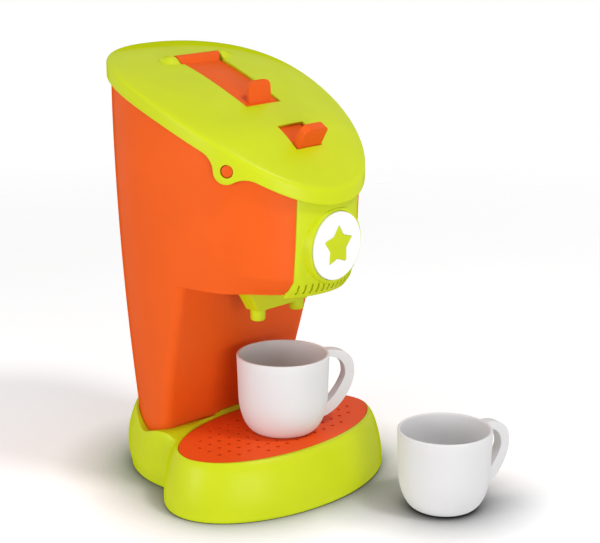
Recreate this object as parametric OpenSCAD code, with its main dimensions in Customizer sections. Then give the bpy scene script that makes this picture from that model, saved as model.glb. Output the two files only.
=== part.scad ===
// Toy capsule coffee maker with a lift-out drip grid, an opening lid and two cups.
// Millimetres. +Z up, front towards -Y, origin on the table under the middle of the base.

/* [Base] */
// Width of the front lobe at the table
base_w = 161; // [150:1:172]
// Depth of the front lobe at the table
base_d = 99; // [92:1:104]
// How far the middle of the front lobe is ahead of the origin
base_lobe_y = 28; // [26:0.5:32]
// Width of the rear lobe round the column
rear_w = 112; // [111:1:120]
// How far the rear lobe reaches behind the origin at the table
rear_reach = 76; // [73:1:84]
// Height of the deck that the drip grid lies in
deck_z = 33.5; // [31:0.5:36]
// Wall of the base moulding
base_wall = 2.4; // [2:0.1:2.8]
// Height of the inner floor that carries the column
floor_z = 18; // [15:0.5:20]

/* [Drip grid] */
// Width of the drip grid
grid_w = 144; // [138:1:144]
// Depth of the drip grid
grid_d = 76; // [72:1:76]
// Plate thickness of the drip grid
grid_t = 2.4; // [2:0.1:3]
// Diameter of the drain holes
grid_hole_d = 2.4; // [1.6:0.1:3]
// Distance between drain holes
grid_pitch = 8; // [7:0.5:12]

/* [Body] */
// Width of the head under the middle of the lid
head_w = 132.4; // [128:0.4:136]
// Depth of the head from front to back
head_d = 156.4; // [152:0.4:158]
// Wall of the body moulding
body_wall = 2.2; // [1.8:0.1:2.6]
// Height of the head's underside above the spouts
under_z = 127.8; // [124:0.5:131]
// Front face of the column where it meets the deck, behind the origin
column_foot_y = 12.5; // [12.5:0.5:16]
// Lean of the column's front face, forwards and up, in degrees
column_lean = 13.5; // [9:0.5:14]
// Corner radius of the column
column_r = 6; // [4:0.5:10]

/* [Lid] */
// Height of the lid's lower edge above the origin
edge_z0 = 223; // [219:0.5:227]
// Rise of the lid's lower edge per millimetre towards the back
edge_slope = 0.438; // [0.42:0.005:0.45]
// Side-view radius of the lid's lower edge
edge_radius = 279; // [265:1:300]
// Height of the lid's rim band
rim_h = 8.9; // [8:0.1:10]
// Rise of the dome above the rim band
dome_h = 4.7; // [4:0.1:5.5]
// Wall of the lid
lid_wall = 1.8; // [1.6:0.1:2]
// Gap between the lid's skirt and the body
lid_gap = 0.6; // [0.5:0.05:0.8]
// Diameter of the rear hinge pin
hinge_pin_d = 3; // [2.5:0.1:3.4]

/* [Front panel and knob] */
// Width of the front panel
panel_w = 51.4; // [48:0.2:54]
// Lower edge of the front panel
panel_z0 = 124.5; // [122:0.5:125.5]
// Upper edge of the front panel, under the lid's skirt
panel_z1 = 183; // [181:0.5:184]
// Wall of the front panel
panel_wall = 2.4; // [2:0.1:3]
// Height of the knob's centre
knob_z = 153; // [151:0.5:154]
// Diameter of the white knob cap
knob_d = 40.5; // [38:0.5:41]
// Tilt of the knob's face, in degrees
knob_tilt = 2; // [0:0.5:4]
// Diameter of the knob's shaft
shaft_d = 6; // [5:0.5:8]

/* [Flap and slider] */
// Width of the capsule flap at its front end
flap_w = 28; // [26:0.5:30]
// Width of the capsule flap at its hinge
flap_back_w = 31.5; // [30:0.5:33]
// Front end of the capsule flap, ahead of the origin
flap_front = 19.5; // [17.5:0.5:20.5]
// Hinge axis of the capsule flap, behind the origin
flap_axis_y = 35; // [33:0.5:36]
// Plate thickness of the flap and the slider
flap_t = 2.2; // [2:0.1:2.6]
// Diameter of the flap's hinge pin
flap_pin_d = 2.5; // [2:0.1:3]
// Height of the finger fins
fin_h = 12.5; // [11:0.5:14]
// Width of the slider's window in the lid
window_w = 21.5; // [20:0.5:24]
// Travel of the eject slider
slide_travel = 6; // [4:0.5:6]

/* [Spouts] */
// Distance between the two spouts
spout_pitch = 33; // [30:0.5:36]
// Height of the spout tips above the table
spout_tip_z = 104; // [102:0.5:106]
// Outer diameter of a spout
spout_d = 9; // [8:0.2:11]

/* [Cups] */
// Rim diameter of a cup
cup_d = 55; // [52:0.5:58]
// Height of a cup
cup_h = 47.5; // [44:0.5:50]
// Foot diameter of a cup
cup_foot_d = 31; // [28:0.5:34]
// Wall of a cup
cup_wall = 1.8; // [1.5:0.1:2.2]
// Reach of a cup handle beyond the rim
handle_reach = 17.4; // [14:0.2:19]

/* [Fasteners] */
// Shank diameter of the screws
screw_d = 2.5; // [2.2:0.1:2.8]
// Head diameter of the screws
screw_head_d = 5.6; // [5:0.1:6]

/* [Hidden] */
$fn = 64;

lime = [0.80, 0.87, 0.12];
orange = [0.93, 0.37, 0.11];
white = [0.93, 0.93, 0.93];
steel = [0.72, 0.73, 0.75];

// Clearances
seat_gap = 0.3;          // pieces that lie in or on each other
run_gap = 0.05;          // pins and shafts in their bores, on the radius
thread_gap = 0.05;       // screws in their pilot holes, on the radius
pocket_gap = 0.35;       // column in the collar of the base
eps = 0.5;               // overshoot of cutting tools

// ---------------------------------------------------------------- skins of rings

// Closed skin over rings of equal point count. The rings run from one end cap to the other with
// the outside on the right of the path, and both ends are closed by a fan to their middle.
module skin(rings) {
    n = len(rings[0]);
    m = len(rings);
    first = ring_middle(rings[0]);
    last = ring_middle(rings[m - 1]);
    polyhedron(
        points = concat([for (r = rings) each r], [first, last]),
        faces = concat(
            [for (j = [0:m - 2]) for (i = [0:n - 1]) let (k = (i + 1) % n)
                [j * n + i, (j + 1) * n + i, (j + 1) * n + k]],
            [for (j = [0:m - 2]) for (i = [0:n - 1]) let (k = (i + 1) % n)
                [j * n + i, (j + 1) * n + k, j * n + k]],
            [for (i = [0:n - 1]) [m * n, i, (i + 1) % n]],
            [for (i = [0:n - 1]) [m * n + 1, (m - 1) * n + (i + 1) % n, (m - 1) * n + i]]),
        convexity = 6);
}

function ring_middle(ring) = [for (axis = [0:2]) sum_axis(ring, axis) / len(ring)];
function sum_axis(ring, axis, i = 0) = i == len(ring) ? 0 : ring[i][axis] + sum_axis(ring, axis, i + 1);
function mix(a, b, t) = a + (b - a) * t;

// ---------------------------------------------------------------- outline of the head

skirt_inset = lid_wall + lid_gap;
edge_curve = 1 / (2 * edge_radius);
head_y = -0.5;           // middle of the outline
nose_y = head_y - head_d / 2;    // front end of the head
outline_n = 2.17;        // fullness of the outline, 2 would be an ellipse
outline_egg = 0.11;      // how much wider the back is than the front

// Height of the lid's lower edge at a station y
function edge_z(y) = edge_z0 + edge_slope * y - edge_curve * y * y;
function full(share) = sign(share) * pow(abs(share), 2 / outline_n);
// Point of the egg-shaped outline, drawn in by inset, at its own angle
function egg(angle, inset) = [
    (head_w / 2 - inset) * full(cos(angle)) * (1 + outline_egg * full(sin(angle))),
    head_y + (head_d / 2 - inset) * full(sin(angle))];
// How far the body has drawn in at height z: straight under the lid, faster towards its foot
taper_lin = 0.0122;
taper_sq = 0.000242;
function taper(z) = let (drop = max(0, edge_z0 + 2 - z)) taper_lin * drop + taper_sq * drop * drop;

// Angle on the outline, drawn in by inset, where its right side passes the station y
function egg_angle(y, inset) = let (share = max(-1, min(1, (y - head_y) / (head_d / 2 - inset))))
    asin(sign(share) * pow(abs(share), outline_n / 2));

// ---------------------------------------------------------------- body rings

back_n = 37;             // points round the back and the sides
corner_n = 6;            // points round each front corner
front_n = 7;             // points across the front

// The head's underside rises gently towards the column
under_rise = 0.05;
under_y = -30;
bevel = 5;
function under_plane(y) = under_z + under_rise * (y - under_y);
// Front face of the column at height z
function column_face(z) = -(z - deck_z) * tan(column_lean) + column_foot_y;

// Angles over the back from the right side to the left side, and over the nose back again
function back_angles(a0) = [for (i = [0:back_n - 1]) mix(a0, 180 - a0, i / (back_n - 1))];
function nose_angles(a0) = let (n = 2 * corner_n + front_n)
    [for (i = [1:n]) mix(180 - a0, 360 + a0, i / (n + 1))];
// The back and the sides of the column
function back_arc(inset, split) = [for (a = back_angles(egg_angle(split, inset))) egg(a, inset)];
// Left corner, straight face and right corner of the column
function column_front(inset, face, r) = let (x = egg(egg_angle(face + r, inset), inset)[0]) concat(
    [for (i = [1:corner_n]) let (a = 180 + 90 * i / corner_n) [-x + r + r * cos(a), face + r + r * sin(a)]],
    [for (i = [1:front_n]) [mix(-x + r, x - r, i / (front_n + 1)), face]],
    [for (i = [0:corner_n - 1]) let (a = 270 + 90 * i / corner_n)
        [x - r + r * cos(a), face + r + r * sin(a)]]);
// Bevel of the head's lower edge, full across the front and gone at the sides
function nose_bevel(y) = let (share = max(0, min(1, (-y - 36) / 22)))
    bevel * share * share * (3 - 2 * share);
// Nose of the head between the same two stations
function nose(inset, split) = [for (a = nose_angles(egg_angle(split, inset)))
    egg(a, inset + nose_bevel(egg(a, inset)[1]))];

// Column ring at one height. wall draws the whole outline in.
function column_ring(z, wall) = let (inset = skirt_inset + taper(z) + wall, face = column_face(z) + wall,
        r = column_r - wall)
    [for (p = concat(back_arc(inset, face + r), column_front(inset, face, r))) [p[0], p[1], z]];
// Top ring of the column, its front lying in the underside of the head
function column_top_ring(wall) = let (inset = skirt_inset + taper(under_z) + wall,
        face = column_face(under_z) + wall, r = column_r - wall, back = back_arc(inset, face + r))
    concat([for (p = back) [p[0], p[1], under_z - 2 + wall]],
        [for (p = column_front(inset, face, r)) [p[0], p[1], under_plane(p[1]) + wall]]);
split_y = column_face(under_z) + column_r;
// Bottom ring of the head, its nose lying in the same underside
function head_foot_ring(wall) = let (inset = skirt_inset + taper(under_z) + wall)
    concat([for (p = back_arc(inset, split_y)) [p[0], p[1], under_z + 2 + wall]],
        [for (p = nose(inset, split_y)) [p[0], p[1], under_plane(p[1]) + wall]]);
// Head ring at a share t of the way from the underside to the mouth, lift above the lid's edge
mouth_lift = 5;
function head_ring(t, wall, lift) = let (a0 = egg_angle(split_y, skirt_inset))
    [for (a = concat(back_angles(a0), nose_angles(a0)))
        let (z = mix(under_z + 2, edge_z(egg(a, 0)[1]) + lift, t), p = egg(a, skirt_inset + taper(z) + wall))
            [p[0], p[1], z]];

column_heights = [floor_z, deck_z, 55, 80, 105];
head_shares = [0.15, 0.42, 0.7, 1];

module body_skin() {
    skin(concat(
        [for (z = column_heights) column_ring(z, 0)],
        [column_top_ring(0), head_foot_ring(0)],
        [for (t = head_shares) head_ring(t, 0, mouth_lift)],
        [for (i = [len(head_shares) - 1:-1:0]) head_ring(head_shares[i], body_wall, mouth_lift)],
        [head_foot_ring(body_wall), column_top_ring(body_wall)],
        [for (i = [len(column_heights) - 1:-1:1]) column_ring(column_heights[i], body_wall)],
        [column_ring(floor_z + body_wall, body_wall)]));
}

// ---------------------------------------------------------------- base rings

// Distance from the ring centre to an ellipse, in the direction of an angle
function ray_ellipse(angle, rx, ry, ring_y, centre_y) = let (c = cos(angle) / rx, s = sin(angle) / ry,
        d = (ring_y - centre_y) / ry, p = c * c + s * s, q = s * d)
    (-q + sqrt(max(0, q * q - p * (d * d - 1)))) / p;
base_mid_y = 4;          // centre that the base rings are drawn from
base_n = 72;             // points of a base ring
waist_blend = 24;        // higher is a tighter waist between the lobes
rear_mid_y = 12;

// Height of the base's upper edge: deck, saddle, dip beside the column, high collar behind
saddle_z = deck_z + 2.5;
collar_z = deck_z + 8.5;
dip_y = 31;
dip_depth = 5;
dip_width = 11;
function base_top(y) = let (rise = max(0, min(1, y / 8)), back = max(0, min(1, (y - dip_y) / 34)))
    deck_z + (saddle_z - deck_z) * rise * rise * (3 - 2 * rise)
    + (collar_z - saddle_z) * back * back * (3 - 2 * back)
    - dip_depth * exp(-pow((y - dip_y) / dip_width, 2));

// [share of height, inset of the front lobe, side growth and back inset of the rear lobe]
base_profile = [[0, 0.8, -0.8, 0.8], [0.06, 0, 0, 0], [0.3, 0.3, 1.6, -2.4], [0.55, 1.8, 2, -1],
    [0.78, 4, 2, 3.2], [0.92, 6, 1.6, 6.2], [1, 8, 0.9, 8.4]];

function base_point(angle, row, wall, drop) = let (
        front = ray_ellipse(angle, base_w / 2 - row[1] - wall, base_d / 2 - row[1] - wall,
            base_mid_y, -base_lobe_y),
        rear = ray_ellipse(angle, rear_w / 2 + row[2] - wall, rear_reach - rear_mid_y - row[3] - wall,
            base_mid_y, rear_mid_y),
        r = max(front, rear) * pow(pow(front / max(front, rear), waist_blend)
            + pow(rear / max(front, rear), waist_blend), 1 / waist_blend),
        y = base_mid_y + r * sin(angle))
    [r * cos(angle), y, row[0] * (base_top(y) - drop)];

module base_skin(wall, drop, sink) {
    rings = [for (row = base_profile)
        [for (i = [0:base_n - 1]) base_point(360 * i / base_n, row, wall, drop)]];
    skin(concat(sink == 0 ? [] : [[for (p = rings[0]) [p[0], p[1], -sink]]], rings));
}

// Solid of the column's outline, grown by the gap, from the floor of the base upwards
module column_plug(gap, z0, z1) {
    skin([for (z = [z0, deck_z, z1]) column_ring(z, -gap)]);
}

// Upright oval solid
module oval(w, d, z0, z1) {
    translate([0, -base_lobe_y, z0])
        scale([1, d / w, 1])
            cylinder(d = w, h = z1 - z0);
}

well_inset = 6;          // ledge round the well that carries the grid
grid_side_gap = 0.4;
rib_t = 2;
pad_d = 16;

module base_cavity() {
    difference() {
        base_skin(base_wall, base_wall, eps);
        oval(grid_w - 2 * well_inset + 2 * base_wall, grid_d - 2 * well_inset + 2 * base_wall,
            floor_z - base_wall, collar_z);
        column_plug(pocket_gap + base_wall, floor_z - base_wall, collar_z + 5);
        translate([-base_w, -base_w, floor_z - base_wall])
            cube([2 * base_w, 2 * base_w, base_wall]);
        translate([-grid_w / 4, column_foot_y - 12, floor_z - base_wall])
            cube([grid_w / 2, 12, collar_z]);
        translate([-rib_t / 2, -base_lobe_y - base_d, -eps * 2])
            cube([rib_t, 2 * base_d + rear_reach, floor_z]);
        translate([-base_w / 2, -rib_t / 2, -eps * 2])
            cube([base_w, rib_t, floor_z]);
        translate([0, 0, -eps * 2])
            cylinder(d = pad_d, h = floor_z);
    }
}

base_screw_x = 26;
foot_back_y = head_y + head_d / 2 - skirt_inset - taper(floor_z) - body_wall;
base_screw_y = [column_foot_y + 17.5, foot_back_y - 10.2];

module at_base_screws() {
    for (side = [-1, 1])
        for (y = base_screw_y)
            translate([side * base_screw_x, y, 0])
                children();
}

module base_shell() {
    color(lime)
        difference() {
            base_skin(0, 0, 0);
            base_cavity();
            column_plug(pocket_gap, floor_z, collar_z + 10);
            oval(grid_w + 2 * grid_side_gap, grid_d + 2 * grid_side_gap, deck_z - grid_t, deck_z + 20);
            oval(grid_w - 2 * well_inset, grid_d - 2 * well_inset, floor_z, deck_z);
            at_base_screws()
                translate([0, 0, floor_z - base_wall - eps])
                    cylinder(d = screw_d + 0.6, h = base_wall + 2 * eps);
        }
}

module drip_grid() {
    nx = floor(grid_w / 2 / grid_pitch);
    ny = floor(grid_d / 2 / grid_pitch);
    rim = 9;
    color(orange)
        difference() {
            intersection() {
                oval(grid_w, grid_d, deck_z - grid_t - 1, deck_z + 1);
                translate([-grid_w, -base_lobe_y - grid_d, deck_z - grid_t])
                    cube([2 * grid_w, 2 * grid_d, grid_t]);
            }
            for (i = [-nx:nx])
                for (j = [-ny:ny])
                    if (pow(i * grid_pitch / (grid_w / 2 - rim), 2)
                        + pow(j * grid_pitch / (grid_d / 2 - rim), 2) < 1)
                        translate([i * grid_pitch, -base_lobe_y + j * grid_pitch, deck_z - grid_t - eps])
                            cylinder(d = grid_hole_d, h = grid_t + 2 * eps, $fn = 16);
        }
}

// ---------------------------------------------------------------- screws

// Pan-head screw with its shank along +Z and the underside of its head at z = 0
module screw(length) {
    head_h = 1.8;
    cylinder(d = screw_d, h = length);
    translate([0, 0, -head_h])
        difference() {
            cylinder(d = screw_head_d, h = head_h);
            translate([-screw_head_d / 2, -0.4, -eps])
                cube([screw_head_d, 0.8, 0.6 + eps]);
        }
}

pilot_d = screw_d + 2 * thread_gap;
base_screw_l = 12;

module base_screws() {
    color(steel)
        at_base_screws()
            translate([0, 0, floor_z - base_wall])
                screw(base_screw_l);
}

// ---------------------------------------------------------------- front panel

panel_gap = 0.3;
panel_r = 52.4;          // radius of the panel's barrel at its upper edge
panel_axis_y = nose_y + panel_r + 2.7;    // upright axis that the barrel is turned about
panel_back_y = panel_axis_y - 34.4;
panel_h = panel_z1 - panel_z0;
// Barrel profile: [radius, height] of the outer face
panel_face = [[panel_r * 0.853, panel_z0], [panel_r * 0.9084, panel_z0 + panel_h * 0.077],
    [panel_r * 0.9427, panel_z0 + panel_h * 0.18], [panel_r * 0.977, panel_z0 + panel_h * 0.547],
    [panel_r, panel_z1]];
slot_n = 12;
slot_pitch = 4;
slot_w = 1;
slot_h = 5.8;
post_x = 17;
post_z = panel_z1 - 15.5;
post_d = 7;
post_l = 19;
post_pilot = 14;
panel_screw_l = 12;
bulkhead_y = nose_y + 28.7;
bulkhead_t = 2;

module knob_frame() {
    translate([0, knob_face_y, knob_z])
        rotate([90 + knob_tilt, 0, 0])
            children();
}

knob_face_y = nose_y + 6.1;
boss_d = knob_d + 3.4;
boss_root_d = boss_d + 1.4;
boss_rise = 1.9;         // collar round the turning disc, above the face that the hub lies on

module panel_barrel(inset) {
    translate([0, panel_axis_y, 0])
        rotate_extrude($fn = 96)
            polygon(concat([[0, panel_z0 - (inset > 0 ? -panel_wall : 0)]],
                [for (p = panel_face) [p[0] - inset, min(max(p[1], panel_z0 + (inset > 0 ? panel_wall : 0)),
                    panel_z1 - (inset > 0 ? panel_wall : 0))]],
                [[0, panel_z1 - (inset > 0 ? panel_wall : 0)]]));
}

module front_panel() {
    color(lime)
        difference() {
            union() {
                difference() {
                    intersection() {
                        panel_barrel(0);
                        translate([-panel_w / 2, -100, 0])
                            cube([panel_w, 100 + panel_back_y, 250]);
                    }
                    intersection() {
                        panel_barrel(panel_wall);
                        translate([-panel_w / 2 + panel_wall, -100, 0])
                            cube([panel_w - 2 * panel_wall, 100, 250]);
                    }
                }
                knob_frame()
                    translate([0, 0, -5])
                        cylinder(d1 = boss_root_d, d2 = boss_d, h = 5 + boss_rise);
                for (side = [-1, 1])
                    translate([side * post_x, bulkhead_y - bulkhead_t, post_z])
                        rotate([90, 0, 0])
                            cylinder(d = post_d, h = post_l);
            }
            knob_frame() {
                translate([0, 0, -30])
                    cylinder(d = shaft_d + 2 * run_gap, h = 40);
                cylinder(d = knob_d + 1, h = 10);
            }
            for (side = [-1, 1])
                translate([side * post_x, bulkhead_y - bulkhead_t + eps, post_z])
                    rotate([90, 0, 0])
                        cylinder(d = pilot_d, h = post_pilot + eps);
            for (i = [0:slot_n - 1])
                translate([(i - slot_n / 2 + 0.5) * slot_pitch - slot_w / 2, panel_back_y - head_w / 2,
                    panel_z0 + 2.2])
                    cube([slot_w, head_w / 2 + 2, slot_h]);
        }
}

module panel_screws() {
    color(steel)
        for (side = [-1, 1])
            translate([side * post_x, bulkhead_y, post_z])
                rotate([90, 0, 0])
                    screw(panel_screw_l);
}

// ---------------------------------------------------------------- knob

flange_t = 1.2;
cap_t = 2;
shaft_l = 12;
star_r = 12.4;
star_in = 0.58;
washer_t = 1;

module star(r) {
    polygon([for (i = [0:9]) let (a = 90 + 36 * i, q = i % 2 == 0 ? r : r * star_in)
        [q * cos(a), q * sin(a)]]);
}

module knob_hub() {
    color(lime)
        knob_frame()
            difference() {
                union() {
                    translate([0, 0, seat_gap])
                        cylinder(d = knob_d - 4, h = flange_t);
                    translate([0, 0, seat_gap])
                        linear_extrude(height = flange_t + cap_t - 0.4)
                            star(star_r);
                    translate([0, 0, -shaft_l])
                        cylinder(d = shaft_d, h = shaft_l + seat_gap + eps);
                }
                translate([0, 0, -shaft_l - eps])
                    cylinder(d = pilot_d, h = 8 + eps);
            }
}

module knob_cap() {
    color(white)
        knob_frame()
            translate([0, 0, seat_gap + flange_t])
                difference() {
                    union() {
                        cylinder(d = knob_d, h = cap_t - 0.8);
                        translate([0, 0, cap_t - 0.8])
                            cylinder(d1 = knob_d, d2 = knob_d - 1.6, h = 0.8);
                    }
                    translate([0, 0, -eps])
                        linear_extrude(height = cap_t + 2 * eps)
                            star(star_r + 0.15);
                }
}

module knob_washer() {
    color(steel)
        knob_frame()
            translate([0, 0, -shaft_l - washer_t])
                difference() {
                    cylinder(d = shaft_d + 5, h = washer_t);
                    translate([0, 0, -eps])
                        cylinder(d = pilot_d, h = washer_t + 2 * eps);
                }
}

module knob_screw() {
    color(steel)
        knob_frame()
            translate([0, 0, -shaft_l - washer_t])
                screw(8);
}

// ---------------------------------------------------------------- spouts

spout_y = nose_y + 49.2;
spout_top_w = 68;
spout_low_w = spout_pitch + spout_d;
spout_body_z = spout_tip_z + 6.5;
spout_depth = spout_d + 1;
spout_screw_x = 24;
spout_screw_l = 10;
spout_pilot = 14;

module below_underside() {
    translate([0, under_y, under_z])
        rotate([atan(under_rise), 0, 0])
            translate([-100, -100, -100])
                cube([200, 200, 100]);
}

module spout_block() {
    color(lime)
        difference() {
            intersection() {
                union() {
                    translate([0, spout_y + spout_depth / 2, 0])
                        rotate([90, 0, 0])
                            linear_extrude(height = spout_depth)
                                polygon([[-spout_low_w / 2, spout_body_z], [spout_low_w / 2, spout_body_z],
                                    [spout_top_w / 2, under_z + 3], [-spout_top_w / 2, under_z + 3]]);
                    for (side = [-1, 1])
                        translate([side * spout_pitch / 2, spout_y, spout_tip_z])
                            cylinder(d = spout_d, h = 8);
                }
                below_underside();
            }
            for (side = [-1, 1]) {
                translate([side * spout_pitch / 2, spout_y, spout_tip_z - eps])
                    cylinder(d = spout_d - 4, h = 12);
                translate([side * spout_screw_x, spout_y, under_z - 10])
                    cylinder(d = pilot_d, h = spout_pilot);
            }
        }
}

module spout_screws() {
    color(steel)
        for (side = [-1, 1])
            translate([side * spout_screw_x, spout_y, under_plane(spout_y) + body_wall + 0.3])
                rotate([180, 0, 0])
                    screw(spout_screw_l);
}

// ---------------------------------------------------------------- hinge of the lid

head_back_y = head_y + head_d / 2;
hinge_y = head_back_y + 4;
hinge_z = edge_z(head_back_y) - 3;
knuckle_d = hinge_pin_d + 4;
lid_knuckle_w = 26;
body_knuckle_w = 9;
knuckle_gap = 0.3;
hinge_pin_l = lid_knuckle_w + 2 * (body_knuckle_w + knuckle_gap);

module hinge_bore(length) {
    translate([-length / 2, hinge_y, hinge_z])
        rotate([0, 90, 0])
            cylinder(d = hinge_pin_d + 2 * run_gap, h = length);
}

module body_knuckles() {
    for (side = [-1, 1])
        translate([side * (lid_knuckle_w / 2 + knuckle_gap + body_knuckle_w / 2), 0, 0]) {
            translate([-body_knuckle_w / 2, hinge_y, hinge_z])
                rotate([0, 90, 0])
                    cylinder(d = knuckle_d, h = body_knuckle_w);
            translate([-body_knuckle_w / 2, 0, 0])
                rotate([90, 0, 90])
                    linear_extrude(height = body_knuckle_w)
                        polygon([[hinge_y - 8, hinge_z - 16], [hinge_y - 8, hinge_z + 1],
                            [hinge_y, hinge_z + 1], [hinge_y + knuckle_d / 2 - 0.6, hinge_z - 2]]);
        }
}

module lid_knuckle() {
    rotate([90, 0, 90])
        translate([0, 0, -lid_knuckle_w / 2])
            linear_extrude(height = lid_knuckle_w)
                polygon([[hinge_y - 1.5, hinge_z], [hinge_y + knuckle_d / 2 - 0.4, hinge_z + 1],
                    [hinge_y - 3, hinge_z + rim_h + 3], [hinge_y - 4 - lid_wall / 2, hinge_z + rim_h + 2],
                    [hinge_y - 4 - lid_wall / 2, hinge_z + 4]]);
    translate([-lid_knuckle_w / 2, hinge_y, hinge_z])
        rotate([0, 90, 0])
            cylinder(d = knuckle_d, h = lid_knuckle_w);
}

module hinge_pin() {
    color(steel)
        translate([-hinge_pin_l / 2, hinge_y, hinge_z])
            rotate([0, 90, 0])
                cylinder(d = hinge_pin_d, h = hinge_pin_l);
}

// ---------------------------------------------------------------- body

catch_y = nose_y + 36.2;
catch_d = 6.4;
catch_drop = 2.5;        // middle of the catch below the lid's edge
catch_z = edge_z(catch_y) - catch_drop;
catch_angle = egg_angle(catch_y, 0);
catch_point = egg(catch_angle, 0);
catch_along = egg(catch_angle + 2, 0) - egg(catch_angle - 2, 0);
// Direction that the outline faces at the catches, and the slope of the lid's edge there
catch_face = atan2(catch_along[1], catch_along[0]) - 90;
catch_slope = atan(edge_slope - 2 * edge_curve * catch_y);
catch_h = 0.6;

module at_catches() {
    for (side = [0, 1])
        mirror([side, 0, 0])
            translate([catch_point[0], catch_point[1], catch_z])
                rotate([0, 0, catch_face])
                    rotate([0, 90, 0])
                        children();
}

screw_boss_d = 8;
screw_boss_h = 12;

module body_shell() {
    color(orange)
        difference() {
            union() {
                body_skin();
                body_knuckles();
                at_base_screws()
                    translate([0, 0, floor_z + body_wall / 2])
                        cylinder(d = screw_boss_d, h = screw_boss_h);
                translate([-panel_w / 2 + 2, bulkhead_y - bulkhead_t,
                    under_plane(bulkhead_y) + body_wall / 2])
                    cube([panel_w - 4, bulkhead_t, post_z + 6 - under_z]);
                at_catches()
                    translate([0, 0, -skirt_inset - taper(catch_z) - body_wall / 2])
                        cylinder(d = catch_d, h = body_wall / 2 + catch_h);
            }
            translate([-panel_w / 2 - panel_gap, -110, panel_z0 - 10])
                cube([panel_w + 2 * panel_gap, 110 + panel_back_y + panel_gap, panel_h + 30]);
            hinge_bore(hinge_pin_l + 2 * eps);
            at_base_screws()
                translate([0, 0, floor_z - eps])
                    cylinder(d = pilot_d, h = screw_boss_h);
            for (side = [-1, 1]) {
                translate([side * post_x, bulkhead_y + eps, post_z])
                    rotate([90, 0, 0])
                        cylinder(d = screw_d + 0.6, h = bulkhead_t + 2 * eps);
                translate([side * spout_screw_x, spout_y, under_z - 3])
                    cylinder(d = screw_d + 0.6, h = 8);
                translate([side * spout_pitch / 2, spout_y, under_z - 3])
                    cylinder(d = spout_d - 4, h = 8);
            }
        }
}

// ---------------------------------------------------------------- lid

dome_power = 3.7;
shoulder_h = 2.6;        // extra fullness of the dome round the slider's window
shoulder_y = nose_y + 36.7;
shoulder_l = 15;
function dome_lift(k, y) = rim_h + dome_h * (1 - pow(k, dome_power))
    + shoulder_h * (1 - pow(k, 4)) * exp(-pow((y - shoulder_y) / shoulder_l, 2));
// Height of the lid's outer face on its middle line
function lid_top(y) = edge_z(y) + dome_lift(abs(y - head_y) / (head_d / 2), y);
lid_n = 64;
// Ring of the lid: the outline shrunk to k of its size, drawn in by inset, lifted above the edge
function lid_ring(k, inset, lift) = [for (i = [0:lid_n - 1]) let (q = egg(360 * i / lid_n, inset),
        y = head_y + k * (q[1] - head_y)) [k * q[0], y, edge_z(y) + lift]];
// The same ring on the dome, drop below its outer face
function dome_ring(k, inset, drop) = [for (p = lid_ring(k, inset, 0))
    [p[0], p[1], p[2] + dome_lift(k, p[1]) - drop]];
dome_steps = [0.12, 0.27, 0.41, 0.54, 0.66, 0.77, 0.86, 0.93, 0.975];
dome_n = len(dome_steps);

module lid_skin() {
    skin(concat(
        [for (k = dome_steps) dome_ring(k, lid_wall, lid_wall)],
        [lid_ring(1, lid_wall, rim_h - lid_wall - 0.8), lid_ring(1, lid_wall, 0), lid_ring(1, 0, 0),
            lid_ring(1, 0, rim_h - 2), lid_ring(1, 0.7, rim_h - 0.5), lid_ring(1, 2, rim_h)],
        [for (i = [dome_n - 1:-1:0]) dome_ring(dome_steps[i], 0, 0)]));
}

// Frame along the middle line: origin on the lid's face at station y, +Y up the slope, +Z outwards
module on_lid(y, tilt) {
    translate([0, y, lid_top(y)])
        rotate([tilt, 0, 0])
            children();
}

flap_tilt = atan((lid_top(flap_axis_y) - lid_top(-flap_front)) / (flap_axis_y + flap_front));
flap_mid_y = (flap_axis_y - flap_front) / 2;
flap_l = (flap_axis_y + flap_front) / cos(flap_tilt);
// Rise of the dome over the middle of the flap's chord, which the flap's plate follows
flap_crown = (lid_top(flap_mid_y) - (lid_top(flap_axis_y) + lid_top(-flap_front)) / 2) * cos(flap_tilt);
flap_side_gap = 0.5;
flap_ledge = 2;
flap_top_drop = 1.1;     // flap's face below the line between its ends
frame_wall = 2;
lip_foot = 5.1;          // foot of the flap's sloping lip, ahead of the hinge axis
lip_swing = sqrt(pow(lip_foot, 2) + pow(flap_top_drop + flap_t, 2));
lip_r = flap_pin_d / 2 + 1.35;
lip_w = flap_back_w + 3.5;
boss_l = 8;
flap_pin_l = lip_w + 2 * seat_gap + 10;
fin_w = 19.6;
fin_t = 2.2;
fin_r = 4.4;
fin_set = 2.6;           // its front face stands this far behind the flap's front edge
fin_lean = 20;           // lean of the flap's fin up the slope, in degrees

// Frame of the flap: origin on the chord at the hinge, +Y up the slope, +Z outwards
module flap_frame() {
    translate([0, flap_axis_y, lid_top(flap_axis_y)])
        rotate([flap_tilt, 0, 0])
            children();
}

module flap_outline(grow) {
    polygon([[-flap_w / 2 - grow, -flap_l - grow], [flap_w / 2 + grow, -flap_l - grow],
        [flap_back_w / 2 + grow, -lip_foot + grow], [-flap_back_w / 2 - grow, -lip_foot + grow]]);
}

// Plate of the flap, bowed along its length like the dome beside it
module flap_plate() {
    steps = 12;
    bow = [for (i = [0:steps]) let (k = i / steps)
        [-flap_l + (flap_l - lip_foot) * k, -flap_top_drop + 4 * flap_crown * k * (1 - k)]];
    intersection() {
        translate([0, 0, -20])
            linear_extrude(height = 40)
                flap_outline(0);
        along_x(2 * flap_back_w)
            polygon(concat(bow, [for (i = [steps:-1:0]) bow[i] - [0, flap_t]]));
    }
}

// Side profile of the lip, round its hinge axis, grown by the gap
module lip_profile(grow) {
    circle(r = lip_r + grow);
    polygon([[-lip_foot - grow, -flap_top_drop - flap_t - grow], [0, -lip_r - grow], [0, 0],
        [-lip_r * 0.5 - grow, lip_r * 0.86], [-lip_foot - grow, -flap_top_drop + grow]]);
}

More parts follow.
